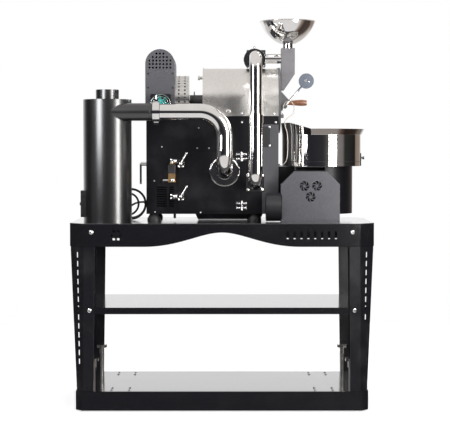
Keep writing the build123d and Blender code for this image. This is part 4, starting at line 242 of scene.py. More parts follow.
floor_links.new(floor_lit.outputs[0], floor_choice.inputs[2])
floor_out = floor_nodes.new("ShaderNodeOutputMaterial")
floor_links.new(floor_choice.outputs[0], floor_out.inputs["Surface"])
floor.data.materials.append(floor_finish)
floor.visible_glossy = False

# ---------------------------------------------------------------- stand
# Table, legs, shelf and base pan are folded steel sheet with a black baked coat of
# fine orange peel, bolted together with bright dome screws. The flat tops are
# smooth enough to mirror the white room.


def shared_effect(name, inputs, outputs):
    """An empty node group with these named sockets; inputs hold their first values."""
    effect = bpy.data.node_groups.new(name, "ShaderNodeTree")
    for label, value in inputs:
        kind = "NodeSocketVector" if value is None else "NodeSocketFloat"
        if isinstance(value, tuple):
            kind = "NodeSocketColor"
        socket = effect.interface.new_socket(label, in_out="INPUT", socket_type=kind)
        if value is not None:
            socket.default_value = value
    for label, kind in outputs:
        effect.interface.new_socket(label, in_out="OUTPUT", socket_type=kind)
    return effect, effect.nodes.new("NodeGroupInput"), effect.nodes.new("NodeGroupOutput")


# Fine grain: a cloudy texture from dark to light, which also sets the roughness
# and a small height.
grain_effect, grain_in, grain_out = shared_effect(
    "fine_grain",
    [
        ("Vector", None),
        ("Scale", 900.0),
        ("Detail", 3.0),
        ("Dark", (0.1, 0.1, 0.1, 1)),
        ("Light", (0.2, 0.2, 0.2, 1)),
        ("Smooth", 0.3),
        ("Rough", 0.4),
    ],
    [("Colour", "NodeSocketColor"), ("Roughness", "NodeSocketFloat"), ("Height", "NodeSocketFloat")],
)
grain_noise = grain_effect.nodes.new("ShaderNodeTexNoise")
grain_effect.links.new(grain_in.outputs["Vector"], grain_noise.inputs["Vector"])
grain_effect.links.new(grain_in.outputs["Scale"], grain_noise.inputs["Scale"])
grain_effect.links.new(grain_in.outputs["Detail"], grain_noise.inputs["Detail"])
grain_spread = grain_effect.nodes.new("ShaderNodeMapRange")
grain_spread.inputs["From Min"].default_value = 0.3
grain_spread.inputs["From Max"].default_value = 0.7
grain_effect.links.new(grain_noise.outputs[0], grain_spread.inputs["Value"])
grain_colour = grain_effect.nodes.new("ShaderNodeMix")
grain_colour.data_type = "RGBA"
grain_effect.links.new(grain_spread.outputs[0], grain_colour.inputs["Factor"])
grain_effect.links.new(grain_in.outputs["Dark"], grain_colour.inputs["A"])
grain_effect.links.new(grain_in.outputs["Light"], grain_colour.inputs["B"])
grain_rough = grain_effect.nodes.new("ShaderNodeMix")
grain_effect.links.new(grain_spread.outputs[0], grain_rough.inputs["Factor"])
grain_effect.links.new(grain_in.outputs["Smooth"], grain_rough.inputs["A"])
grain_effect.links.new(grain_in.outputs["Rough"], grain_rough.inputs["B"])
grain_effect.links.new(grain_colour.outputs["Result"], grain_out.inputs["Colour"])
grain_effect.links.new(grain_rough.outputs["Result"], grain_out.inputs["Roughness"])
grain_effect.links.new(grain_spread.outputs[0], grain_out.inputs["Height"])

# Handling marks: soft uneven patches where hands, dust and cleaning have been.
marks_effect, marks_in, marks_out = shared_effect(
    "handling_marks",
    [("Vector", None), ("Scale", 7.0), ("Amount", 0.3)],
    [("Mask", "NodeSocketFloat")],
)
marks_noise = marks_effect.nodes.new("ShaderNodeTexNoise")
marks_noise.inputs["Detail"].default_value = 5
marks_noise.inputs["Roughness"].default_value = 0.62
marks_effect.links.new(marks_in.outputs["Vector"], marks_noise.inputs["Vector"])
marks_effect.links.new(marks_in.outputs["Scale"], marks_noise.inputs["Scale"])
marks_spread = marks_effect.nodes.new("ShaderNodeMapRange")
marks_spread.interpolation_type = "SMOOTHSTEP"
marks_spread.inputs["From Min"].default_value = 0.46
marks_spread.inputs["From Max"].default_value = 0.74
marks_effect.links.new(marks_noise.outputs[0], marks_spread.inputs["Value"])
marks_amount = marks_effect.nodes.new("ShaderNodeMath")
marks_amount.operation = "MULTIPLY"
marks_effect.links.new(marks_spread.outputs[0], marks_amount.inputs[0])
marks_effect.links.new(marks_in.outputs["Amount"], marks_amount.inputs[1])
marks_effect.links.new(marks_amount.outputs[0], marks_out.inputs["Mask"])


def grained(
    name,
    dark,
    light,
    smooth,
    rough,
    scale,
    height,
    stretch=(1, 1, 1),
    metallic=0.0,
    detail=3.0,
    marks=0.3,
    marks_scale=7.0,
    marks_tone=(0.5, 0.5, 0.5),
    coat=0.0,
    edge=0.0,
    sheen=0.5,
):
    """A finish of fine grain with handling marks over it; height is in metres."""
    finish = bpy.data.materials.new(name)
    finish.use_nodes = True
    nodes = finish.node_tree.nodes
    links = finish.node_tree.links
    shader = nodes["Principled BSDF"]
    shader.inputs["Metallic"].default_value = metallic
    shader.inputs["Specular IOR Level"].default_value = sheen
    shader.inputs["Coat Weight"].default_value = coat
    shader.inputs["Coat Roughness"].default_value = 0.12
    place = nodes.new("ShaderNodeTexCoord")
    drawn = nodes.new("ShaderNodeMapping")
    drawn.inputs["Scale"].default_value = stretch
    links.new(place.outputs["Object"], drawn.inputs["Vector"])
    grain = nodes.new("ShaderNodeGroup")
    grain.node_tree = grain_effect
    links.new(drawn.outputs[0], grain.inputs["Vector"])
    grain.inputs["Scale"].default_value = scale
    grain.inputs["Detail"].default_value = detail
    grain.inputs["Dark"].default_value = (*dark, 1)
    grain.inputs["Light"].default_value = (*light, 1)
    grain.inputs["Smooth"].default_value = smooth
    grain.inputs["Rough"].default_value = rough
    worn = nodes.new("ShaderNodeGroup")
    worn.node_tree = marks_effect
    links.new(place.outputs["Object"], worn.inputs["Vector"])
    worn.inputs["Scale"].default_value = marks_scale
    worn.inputs["Amount"].default_value = marks
    toned = nodes.new("ShaderNodeMix")
    toned.data_type = "RGBA"
    toned.name = "colour_with_marks"
    toned.inputs["B"].default_value = (*marks_tone, 1)
    faint = nodes.new("ShaderNodeMath")
    faint.operation = "MULTIPLY"
    faint.inputs[1].default_value = 0.12
    links.new(worn.outputs["Mask"], faint.inputs[0])
    links.new(faint.outputs[0], toned.inputs["Factor"])
    links.new(grain.outputs["Colour"], toned.inputs["A"])
    links.new(toned.outputs["Result"], shader.inputs["Base Color"])
    dulled = nodes.new("ShaderNodeMath")
    dulled.operation = "MULTIPLY_ADD"
    dulled.name = "roughness_with_marks"
    dulled.inputs[1].default_value = 0.3
    links.new(worn.outputs["Mask"], dulled.inputs[0])
    links.new(grain.outputs["Roughness"], dulled.inputs[2])
    links.new(dulled.outputs[0], shader.inputs["Roughness"])
    bump = nodes.new("ShaderNodeBump")
    bump.name = "grain_bump"
    bump.inputs["Distance"].default_value = height
    links.new(grain.outputs["Height"], bump.inputs["Height"])
    if edge:
        rounded = nodes.new("ShaderNodeBevel")
        rounded.samples = 4
        rounded.inputs["Radius"].default_value = edge
        links.new(rounded.outputs[0], bump.inputs["Normal"])
    links.new(bump.outputs[0], shader.inputs["Normal"])
    return finish


def second_zone(finish, zones, colour, metallic, roughness):
    """Inside these (axis, low, high) zones of the part's own coordinates, another colour, metalness and
    roughness show.
    """
    nodes = finish.node_tree.nodes
    links = finish.node_tree.links
    shader = nodes["Principled BSDF"]
    place = nodes.new("ShaderNodeTexCoord")
    split = nodes.new("ShaderNodeSeparateXYZ")
    links.new(place.outputs["Object"], split.inputs[0])
    inside = None
    for axis, low, high in zones:
        for operation, limit in (("GREATER_THAN", low), ("LESS_THAN", high)):
            if limit is None:
                continue
            test = nodes.new("ShaderNodeMath")
            test.operation = operation
            test.inputs[1].default_value = limit
            links.new(split.outputs[axis], test.inputs[0])
            if inside is None:
                inside = test
            else:
                both = nodes.new("ShaderNodeMath")
                both.operation = "MULTIPLY"
                links.new(inside.outputs[0], both.inputs[0])
                links.new(test.outputs[0], both.inputs[1])
                inside = both
    for label, value in (("Base Color", (*colour, 1)), ("Metallic", metallic), ("Roughness", roughness)):
        socket = shader.inputs[label]
        choice = nodes.new("ShaderNodeMix")
        if label == "Base Color":
            choice.data_type = "RGBA"
        links.new(inside.outputs[0], choice.inputs["Factor"])
        if socket.is_linked:
            links.new(socket.links[0].from_socket, choice.inputs["A"])
        else:
            choice.inputs["A"].default_value = socket.default_value
        choice.inputs["B"].default_value = value
        links.new(choice.outputs["Result"], socket)
    return finish


def dress(finish, *names):
    """These solids of the part get this finish."""
    for name in names:
        parts[name].data.materials.clear()
        parts[name].data.materials.append(finish)


stand_coat = grained(
    "black_stand_coat",
    dark=(0.0035, 0.0035, 0.0055),
    light=(0.013, 0.013, 0.018),
    smooth=0.26,
    rough=0.38,
    scale=620,
    height=0.00003,
    marks=0.25,
    edge=0.0012,
    sheen=0.4,
)
dress(stand_coat, "legs")
deck_coat = grained(
    "black_deck_coat",
    dark=(0.0045, 0.0045, 0.006),
    light=(0.014, 0.014, 0.018),
    smooth=0.14,
    rough=0.19,
    scale=620,
    height=0.000002,
    marks=0.08,
    coat=0.9,
    sheen=1.0,
)
dress(deck_coat, "table_top", "mid_shelf", "base_pan")
bright_screw = grained(
    "bright_screw",
    dark=(0.74, 0.74, 0.75),
    light=(0.90, 0.90, 0.91),
    smooth=0.16,
    rough=0.30,
    scale=500,
    height=0.00001,
    metallic=1.0,
    marks=0.2,
)
dress(bright_screw, "stand_screws")

# ---------------------------------------------------------------- casters
# Four swivel casters sit inside the pan's skirt: zinc plates and forks, hard
# rubber tyres. Their bolts come up through the base pan.
zinc = grained(
    "bright_zinc",
    dark=(0.42, 0.43, 0.45),
    light=(0.66, 0.67, 0.70),
    smooth=0.28,
    rough=0.45,
    scale=260,
    height=0.00002,
    metallic=1.0,
    marks=0.5,
)
dress(
    zinc,
    "caster_plates",
    "caster_fork_front_left",
    "caster_fork_front_right",
    "caster_fork_rear_left",
    "caster_fork_rear_right",
)
caster_rubber = grained(
    "caster_rubber",
    dark=(0.018, 0.018, 0.019),
    light=(0.045, 0.045, 0.046),
    smooth=0.55,
    rough=0.75,
    scale=420,
    height=0.00005,
    marks=0.7,
    marks_tone=(0.35, 0.33, 0.3),
)
dress(
    caster_rubber,
    "caster_wheel_front_left",
    "caster_wheel_front_right",
    "caster_wheel_rear_left",
    "caster_wheel_rear_right",
)

# ---------------------------------------------------------------- levelling jacks
# A plated threaded rod with a hand knob at its top and a swivel pad below, one
# through each corner of the base pan.
jack_plating = grained(
    "jack_plating",
    dark=(0.66, 0.65, 0.63),
    light=(0.86, 0.85, 0.83),
    smooth=0.12,
    rough=0.24,
    scale=120,
    height=0.00003,
    stretch=(0.6, 0.6, 4.5),
    metallic=1.0,
    marks=0.3,
)
dress(jack_plating, "jack_front_left", "jack_front_right", "jack_rear_left", "jack_rear_right")

# ---------------------------------------------------------------- cabinet
# The machine's body is folded sheet with a satin black coat, standing on rubber
# feet. Its right end is a separate frame coated dark grey, with a small black
# cover plate screwed to it.
body_coat = grained(
    "black_body_coat",
    dark=(0.0022, 0.0021, 0.0038),
    light=(0.0095, 0.009, 0.013),
    smooth=0.32,
    rough=0.42,
    scale=760,
    height=0.00002,
    marks=0.2,
    edge=0.001,
    sheen=0.22,
)
dress(body_coat, "cabinet", "plenum")
door_coat = grained(
    "black_door_coat",
    dark=(0.0030, 0.0029, 0.0045),
    light=(0.0110, 0.0105, 0.0145),
    smooth=0.32,
    rough=0.42,
    scale=760,
    height=0.00002,
    marks=0.2,
    edge=0.001,
    sheen=0.24,
)
hinge_heights = (972, 779.6)
latch_heights = (944, 815)
door_face = -0.0531
leaf_half_height = 0.0185
latch_half_height = 0.0155
for height in hinge_heights:
    leaf_low = height / 1000 - leaf_half_height
    leaf_high = height / 1000 + leaf_half_height
    second_zone(
        door_coat,
        [("X", 0.0535, None), ("Y", None, door_face), ("Z", leaf_low, leaf_high)],
        colour=(0.55, 0.54, 0.56),
        metallic=1.0,
        roughness=0.12,
    )
for height in latch_heights:
    latch_low = height / 1000 - latch_half_height
    latch_high = height / 1000 + latch_half_height
    second_zone(
        door_coat,
        [("X", None, -0.1485), ("Y", None, door_face), ("Z", latch_low, latch_high)],
        colour=(0.62, 0.61, 0.61),
        metallic=1.0,
        roughness=0.10,
    )
dress(door_coat, "access_door")
grey_coat = grained(
    "dark_grey_coat",
    dark=(0.060, 0.060, 0.070),
    light=(0.155, 0.155, 0.175),
    smooth=0.34,
    rough=0.52,
    scale=820,
    height=0.00006,
    marks=0.3,
    edge=0.001,
)
dress(grey_coat, "motor_cover")
frame_coat = second_zone(
    grained(
        "frame_coat",
        dark=(0.050, 0.049, 0.058),
        light=(0.115, 0.113, 0.130),
        smooth=0.34,
        rough=0.50,
        scale=820,
        height=0.00005,
        marks=0.3,
        edge=0.001,
    ),
    [("X", 0.150, 0.1882), ("Y", None, -0.0502), ("Z", 1.006, 1.092)],
    colour=(0.002, 0.002, 0.003),
    metallic=0.0,
    roughness=0.5,
)
dress(frame_coat, "front_frame")
foot_rubber = grained(
    "foot_rubber",
    dark=(0.012, 0.012, 0.013),
    light=(0.034, 0.034, 0.035),
    smooth=0.42,
    rough=0.62,
    scale=380,
    height=0.00005,
    marks=0.5,
)
dress(foot_rubber, "rubber_feet", "blower_wheel")


def turned_form(form, profile, spot, outward, steps=24):
    """Adds (radius, height) points spun round the line that leads outward from spot, in mm."""
    shape = bmesh.new()
    line = [shape.verts.new((radius / 1000, 0, height / 1000)) for radius, height in profile]
    edges = [shape.edges.new(pair) for pair in zip(line, line[1:])]
    if profile[0][0] > 0:
        edges.append(shape.edges.new((line[-1], line[0])))
    bmesh.ops.spin(
        shape,
        geom=line + edges,
        axis=(0, 0, 1),
        cent=(0, 0, 0),
        steps=steps,
        angle=2 * pi,
        use_merge=True,
    )
    bmesh.ops.remove_doubles(shape, verts=shape.verts, dist=0.000001)
    bmesh.ops.recalc_face_normals(shape, faces=shape.faces)
    return placed_form(form, shape, spot, outward)


def placed_form(form, shape, spot, outward):
    """Adds shape to form, its own Z turned outward and its origin at spot, in mm."""
    turned_up = Vector(outward).to_track_quat("Z", "Y").to_matrix().to_4x4()
    place = Matrix.Translation(Vector(spot) / 1000) @ turned_up
    bmesh.ops.transform(shape, matrix=place, verts=shape.verts)
    carrier = bpy.data.meshes.new("carrier")
    shape.to_mesh(carrier)
    shape.free()
    form.from_mesh(carrier)
    bpy.data.meshes.remove(carrier)
    return form


def new_piece(name, form, finish, body="machine"):
    """A piece of this form, smooth but for its edges over 35 degrees, which moves with a body."""
    for edge in form.edges:
        edge.smooth = edge.calc_face_angle(0) < radians(35)
    for face in form.faces:
        face.smooth = True
    mesh = bpy.data.meshes.new(name)
    form.to_mesh(mesh)
    form.free()
    mesh.materials.append(finish)
    piece = bpy.data.objects.new(name, mesh)
    bpy.context.collection.objects.link(piece)
    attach(piece, body)
    return piece


def cross_screws(name, spots, outward, radius, height, finish, body="machine"):
    """Domed screws whose heads stand on a skin at these spots, in mm, each with a cross recess."""
    recess = 0.55
    form = bmesh.new()
    for spot in spots:
        shape = bmesh.new()
        rings = [(1.0, 0.0), (0.97, 0.35), (0.84, 0.68), (0.62, 0.88)]
        rings += [(0.40, 0.97), (0.16, 1.0), (0.0, 1.0)]
        line = [shape.verts.new((part * radius / 1000, 0, rise * height / 1000)) for part, rise in rings]
        base = shape.verts.new((0, 0, 0))
        edges = [shape.edges.new(pair) for pair in zip(line, line[1:])]
        edges.append(shape.edges.new((line[0], base)))
        bmesh.ops.spin(
            shape,
            geom=line + [base] + edges,
            axis=(0, 0, 1),
            cent=(0, 0, 0),
            steps=24,
            angle=2 * pi,
            use_merge=True,
        )
        bmesh.ops.remove_doubles(shape, verts=shape.verts, dist=0.000001)
        bmesh.ops.recalc_face_normals(shape, faces=shape.faces)
        head = radius / 1000
        for vert in shape.verts:
            across = (vert.co.x**2 + vert.co.y**2) ** 0.5
            on_cross = min(abs(vert.co.x), abs(vert.co.y)) < head * 0.05 and across < head * 0.63
            if vert.co.z > 0 and (across < head * 0.2 or on_cross):
                vert.co.z -= recess * height / 1000
        placed_form(form, shape, spot, outward)
    return new_piece(name, form, finish, body)


to_front = (0, -1, 0)
cross_screws(
    "cabinet_screws",
    [
        (78.3, -50, 1105.8),
        (209.9, -50, 1105.4),
        (185.2, -52, 1086.6),
        (185.6, -52, 1014.6),
    ],
    to_front,
    radius=4.8,
    height=2.2,
    finish=bright_screw,
)
cross_screws(
    "panel_screws",
    [
        (-96.3, -50, 1004.4),
        (-51.3, -50, 1004.4),
        (-262.7, -50, 754.2),
        (-84.6, -50, 752.6),
        (-90.9, -50, 1083.9),
        (-235.4, -50, 1009.5),
        (-264.7, -50, 876.7),
    ],
    to_front,
    radius=3.0,
    height=1.2,
    finish=zinc,
)
cross_screws(
    "motor_cover_screws",
    [
        (-288.3, -40, 1295.9),
        (-192.6, -40, 1295.9),
        (-288.3, -40, 1241),
        (-192.6, -40, 1241),
    ],
    to_front,
    radius=3.6,
    height=1.8,
    finish=foot_rubber,
)
burner_steel = grained(
    "heated_steel",
    dark=(0.22, 0.18, 0.16),
    light=(0.42, 0.36, 0.33),
    smooth=0.4,
    rough=0.6,
    scale=90,
    height=0.00003,
    metallic=1.0,
)
dress(burner_steel, "burner")

# ---------------------------------------------------------------- drip tray
# Most of the gap between the cabinet and the table is dark. What fills it can't be
# made out: this shallow sheet tray under the cabinet's floor is a guess, and the
# part's solids don't have it.
tray_middle = (0.028, 0.080, 0.7359)
tray_size = (0.266, 0.200, 0.0219)
tray_taper = (0.93, 0.92, 1)
tray_rounding = 0.003
tray_form = bmesh.new()
bmesh.ops.create_cube(
    tray_form,
    size=1,
    matrix=Matrix.Translation(tray_middle) @ Matrix.Diagonal((*tray_size, 1)),
)
tray_floor = [vertex for vertex in tray_form.verts if vertex.co.z < tray_middle[2]]
bmesh.ops.scale(
    tray_form,
    vec=tray_taper,
    space=Matrix.Translation((-tray_middle[0], -tray_middle[1], 0)),
    verts=tray_floor,
)
bmesh.ops.bevel(
    tray_form,
    geom=[edge for edge in tray_form.edges if all(end in tray_floor for end in edge.verts)],
    offset=tray_rounding,
    offset_type="OFFSET",
    affect="EDGES",
    segments=3,
    profile=0.5,
    material=-1,
)
new_piece("drip_tray", tray_form, body_coat)

# ---------------------------------------------------------------- bright fittings
# Hinges, latches, pipes and the clamp are steel, polished and chromed. Hinges are
# screwed on, and latches and pipe flanges are held by nuts.
polished_chrome = grained(
    "polished_chrome",
    dark=(0.80, 0.785, 0.765),
    light=(0.86, 0.85, 0.84),
    smooth=0.035,
    rough=0.075,
    scale=30,
    height=0.000003,
    metallic=1.0,
    marks=0.18,
    marks_scale=11.0,
)
dress(
    polished_chrome,
    "door_hardware",
    "upper_latch_lever",
    "lower_latch_lever",
    "elbow_pipe",
    "down_pipe",
    "v_clamp",
    "damper_valve",
    "side_lever",
)
hinge_screw_reach = 9
hinge_screw_heights = [z + side * hinge_screw_reach for z in hinge_heights for side in (1, -1)]
cross_screws(
    "hinge_screws_on_the_door",
    [(x, -54.7, z) for x in (58.5, 66.5) for z in hinge_screw_heights],
    to_front,
    radius=3.4,
    height=1.9,
    finish=bright_screw,
    body="door",
)
cross_screws(
    "hinge_screws_on_the_cabinet",
    [(x, -54.7, z) for x in (85.5, 93.5) for z in hinge_screw_heights],
    to_front,
    radius=3.4,
    height=1.9,
    finish=bright_screw,
)
latch_form = bmesh.new()
for z in latch_heights:
    turned_form(
        latch_form,
        [(0, -0.4), (7.4, -0.4), (7.4, 1.6), (6.4, 3.6), (4.2, 5.2), (1.6, 6.0), (0, 6.0)],
        (-161, -78.7, z),
        to_front,
    )
    for x in (-168.3, -153.7):
        turned_form(
            latch_form,
            [(0, -0.4), (3.9, -0.4), (3.9, 1.4), (3.2, 2.8), (1.4, 3.6), (0, 3.7)],
            (x, -62.7, z - 11),
            to_front,
        )
new_piece("latch_nuts", latch_form, polished_chrome, "door")
keeper_form = bmesh.new()
for z, body_radius in ((953.5, 7.2), (815, 9.4)):
    turned_form(
        keeper_form,
        [
            (0, -0.4),
            (body_radius, -0.4),
            (body_radius, 3.0),
            (body_radius - 1.5, 6.2),
            (body_radius - 4.2, 8.4),
            (0, 9.2),
        ],
        (-182.5, -57.2, z),
        to_front,
    )
    for side in (-1, 1):
        turned_form(
            keeper_form,
            [(0, -0.4), (3.6, -0.4), (3.6, 1.4), (2.9, 2.8), (1.2, 3.5), (0, 3.6)],
            (-198.2, -57.2, z + side * 6.2),
            to_front,
        )
new_piece("keeper_nuts", keeper_form, polished_chrome)
flange_form = bmesh.new()
turned_form(
    flange_form,
    [(54.2, -0.3), (58.5, -0.3), (58.9, 0.6), (58.3, 1.7), (56.8, 2.3), (55.0, 1.9), (54.3, 0.9)],
    (10, -56.9, 914),
    to_front,
    steps=96,
)
new_piece("port_flange_rim", flange_form, polished_chrome, "door")
pipe_nuts_form = bmesh.new()
for x in (101, 157):
    for z in (842, 898):
        turned_form(
            pipe_nuts_form,
            [(0, -0.4), (5.6, -0.4), (5.6, 1.6), (4.6, 3.4), (2.2, 4.4), (0, 4.6)],
            (x, -56.2, z),
            to_front,
        )
turned_form(
    pipe_nuts_form,
    [(0, -0.4), (9.0, -0.4), (9.0, 3.0), (7.6, 5.2), (4.0, 6.6), (0, 7.0)],
    (25.5, -47, 1147.7),
    to_front,
)
new_piece("flange_nuts", pipe_nuts_form, polished_chrome)

# ---------------------------------------------------------------- gas valve
# A black moulded coil sits on a brass valve body, with a plated hose nozzle that
# points to the left.
valve_finish = second_zone(
    grained(
        "black_moulding",
        dark=(0.010, 0.010, 0.011),
        light=(0.024, 0.024, 0.026),
        smooth=0.32,
        rough=0.46,
        scale=500,
        height=0.00003,
        marks=0.3,
        edge=0.0008,
    ),
    [("Z", None, 0.9062)],
    colour=(0.95, 0.60, 0.27),
    metallic=1.0,
    roughness=0.30,
)
second_zone(
    valve_finish,
    [("X", None, -0.2095), ("Z", None, 0.9062)],
    colour=(0.80, 0.79, 0.78),
    metallic=1.0,
    roughness=0.14,
)
dress(valve_finish, "gas_valve")
brass = grained(
    "brass",
    dark=(0.86, 0.53, 0.22),
    light=(0.98, 0.66, 0.32),
    smooth=0.16,
    rough=0.28,
    scale=300,
    height=0.00001,
    metallic=1.0,
    marks=0.3,
)
brass_form = bmesh.new()
turned_form(
    brass_form,
    [(0, -0.4), (8.6, -0.4), (9.4, 0.8), (9.4, 6.2), (8.6, 7.2), (0, 7.2)],
    (-196, -63.2, 940),
    (0, 0, 1),
    steps=6,
)
new_piece("coil_nut", brass_form, brass)
valve_nuts_form = bmesh.new()
turned_form(
    valve_nuts_form,
    [(0, -0.4), (5.0, -0.4), (5.0, 4.4), (3.4, 6.6), (0, 7.2)],
    (-196, -63.2, 947.2),
    (0, 0, 1),
)
turned_form(
    valve_nuts_form,
    [(0, -0.6), (7.6, -0.6), (7.6, 3.2), (5.6, 5.0), (2.4, 6.0), (0, 6.2)],
    (-193, -75.4, 879),
    to_front,
)
new_piece("valve_nuts", valve_nuts_form, polished_chrome)

# ---------------------------------------------------------------- drum and casing
# The jacket is brushed stainless sheet rolled round the drum, with screws in its
# lower rail. The faceplate is a grey casting, and carries the discharge door, its
# weighted lever and the trier.
brushed_steel = grained(
    "brushed_steel",
    dark=(0.74, 0.72, 0.695),
    light=(0.88, 0.86, 0.835),
    smooth=0.26,
    rough=0.32,
    scale=640,
    height=0.000006,
    stretch=(0.25, 1.0, 1.0),
    metallic=1.0,
    detail=5.0,
    marks=0.2,
    marks_scale=26.0,
)
dress(brushed_steel, "drum_jacket", "drum", "agitator", "hopper_gate")
cast_grey = grained(
    "grey_casting",
    dark=(0.095, 0.093, 0.100),
    light=(0.20, 0.195, 0.205),
    smooth=0.34,
    rough=0.50,
    scale=700,
    height=0.00006,
    marks=0.3,
    edge=0.001,
)
dress(cast_grey, "faceplate")
lever_steel = second_zone(
    grained(
        "lever_steel",
        dark=(0.66, 0.66, 0.66),
        light=(0.84, 0.84, 0.84),
        smooth=0.14,
        rough=0.24,
        scale=160,
        height=0.00001,
        metallic=1.0,
        marks=0.3,
    ),
    [("X", 0.300, None)],
    colour=(0.150, 0.172, 0.215),
    metallic=0.45,
    roughness=0.36,
)
dress(lever_steel, "discharge_door")
cross_screws(
    "rail_screws",
    [(77.1, -50, 1139.9), (203.2, -50, 1138.7), (-62, -50, 1139.3)],
    to_front,
    radius=4.2,
    height=2.0,
    finish=bright_screw,
)
weight_form = bmesh.new()
turned_form(
    weight_form,
    [(2.2, -0.3), (5.4, -0.3), (5.4, 0.8), (4.6, 1.4), (3.0, 1.4), (2.2, 0.8)],
    (331.5, 29, 1271.5),
    to_front,
)
turned_form(
    weight_form,
    [(0, -0.3), (2.6, -0.3), (2.6, 0.7), (1.6, 1.3), (0, 1.4)],
    (343.5, 29, 1268),
    to_front,
)
new_piece("weight_screws", weight_form, bright_screw, "discharge_door")
trier_finish = second_zone(
    grained(
        "trier_wood",
        dark=(0.30, 0.095, 0.035),
        light=(0.56, 0.235, 0.105),
        smooth=0.26,
        rough=0.40,
        scale=90,
        height=0.00004,
        stretch=(0.10, 1.0, 1.0),
        detail=6.0,
        marks=0.4,
        coat=0.25,
    ),
    [("X", None, 0.2648)],
    colour=(0.70, 0.69, 0.67),
    metallic=1.0,
    roughness=0.2,
)
dress(trier_finish, "trier")

# ---------------------------------------------------------------- rear drive
# A perforated guard covers the drum's sprocket. The bearing is a dark casting,
# the gearmotor stands inside the tall cover.
perforated_steel = grained(
    "perforated_steel",
    dark=(0.58, 0.57, 0.56),
    light=(0.76, 0.75, 0.735),
    smooth=0.16,
    rough=0.28,
    scale=240,
    height=0.00001,
    stretch=(0.2, 1.0, 1.0),
    metallic=1.0,
    marks=0.3,
)
dress(perforated_steel, "sprocket_guard")
dark_casting = grained(
    "dark_casting",
    dark=(0.030, 0.029, 0.030),
    light=(0.085, 0.083, 0.084),
    smooth=0.38,
    rough=0.55,
    scale=300,
    height=0.0001,
    metallic=0.35,
    marks=0.5,
)
dress(dark_casting, "bearing_housing", "drum_motor", "motor_sprocket")

# ---------------------------------------------------------------- axial fan
# A boxed cooling fan, moulded in black, with teal blades behind a chromed wire
# guard.
fan_moulding = second_zone(
    grained(
        "fan_moulding",
        dark=(0.012, 0.012, 0.013),
        light=(0.030, 0.030, 0.032),
        smooth=0.38,
        rough=0.52,
        scale=420,
        height=0.00003,
    ),
    [("Y", None, -0.0651)],
    colour=(0.82, 0.81, 0.80),
    metallic=1.0,
    roughness=0.1,
)
dress(fan_moulding, "fan_frame")
blade_plastic = grained(
    "teal_blades",
    dark=(0.030, 0.66, 0.62),
    light=(0.060, 0.86, 0.80),
    smooth=0.22,
    rough=0.36,
    scale=200,
    height=0.00001,
)
dress(blade_plastic, "fan_blades")

# ---------------------------------------------------------------- bean feed
# The chute is folded sheet in a light grey coat; the hopper above it is a spun
# bowl, polished and chromed.
chute_coat = grained(
    "light_grey_coat",
    dark=(0.165, 0.160, 0.175),
    light=(0.315, 0.305, 0.325),
    smooth=0.36,
    rough=0.54,
    scale=820,
    height=0.00006,
    marks=0.25,
    edge=0.001,
)
dress(chute_coat, "chute_box")
dress(polished_chrome, "hopper")

# ---------------------------------------------------------------- damper
# A small black box on the drum's top, with a chromed tube to the chute and a
# round chromed flange in front for the down pipe.
damper_coat = second_zone(
    second_zone(
        grained(
            "damper_coat",
            dark=(0.007, 0.007, 0.009),
            light=(0.022, 0.022, 0.026),
            smooth=0.30,
            rough=0.44,
            scale=700,
            height=0.00003,
            edge=0.001,
        ),
        [("X", 0.1722, None)],
        colour=(0.84, 0.83, 0.82),
        metallic=1.0,
        roughness=0.06,
    ),
    [("Y", None, 0.0239)],
    colour=(0.84, 0.83, 0.82),
    metallic=1.0,
    roughness=0.06,
)
dress(damper_coat, "damper_box")

# ---------------------------------------------------------------- cyclone
# Rolled sheet with a satin black coat, glossier than the cabinet's. A raised seam
# runs round its inlet duct.
cyclone_coat = grained(
    "cyclone_coat",
    dark=(0.0018, 0.0017, 0.0024),
    light=(0.0062, 0.006, 0.008),
    smooth=0.27,
    rough=0.32,
    scale=700,
    height=0.00001,
    marks=0.1,
    coat=0.55,
    edge=0.001,
    sheen=1.0,
)
cyclone_coat.node_tree.nodes["Principled BSDF"].inputs["Coat Roughness"].default_value = 0.22
dress(cyclone_coat, "cyclone_body", "cyclone_door")
seam_form = bmesh.new()
turned_form(
    seam_form,
    [(33.6, 0), (34.6, 0.2), (35.3, 1.1), (35.3, 2.5), (34.6, 3.4), (33.6, 3.6)],
    (-273, -171, 1142),
    (-1, 0, 0),
    steps=64,
)
new_piece("duct_seam", seam_form, cyclone_coat)

# ---------------------------------------------------------------- cooling side
# The tray is mirror-polished stainless on a black plenum, with a perforated plate
# as its floor. The blower's box in front is folded sheet in a dark grey coat.
mirror_steel = grained(
    "mirror_steel",
    dark=(0.80, 0.785, 0.765),
    light=(0.86, 0.85, 0.84),
    smooth=0.03,
    rough=0.06,
    scale=26,
    height=0.000003,
    metallic=1.0,
    marks=0.15,
    marks_scale=9.0,
)
second_zone(
    mirror_steel,
    [("Z", 0.9515, 0.9526)],
    colour=(0.012, 0.012, 0.012),
    metallic=0.0,
    roughness=0.6,
)
# The tray's upper wall on its right side is painted brownish grey and a little less shiny: a painted
# reflection, not the steel's own colour.
second_zone(
    mirror_steel,
    [("X", 0.318, None), ("Z", 1.0578, None)],
    colour=(0.30, 0.27, 0.25),
    metallic=1.0,
    roughness=0.10,
)
dress(mirror_steel, "cooling_tray")
sieve_form = bmesh.new()
sieve_pitch = 9.0
sieve_hole = 2.7
sieve_centre = (397, 50)
sieve_low = 952.3
sieve_high = 952.9
sieve_inner = 18.0
sieve_outer = 149.0
sieve_ring_height = 0.75
hole_steps = 8
last_row = int(sieve_outer / sieve_pitch) + 1
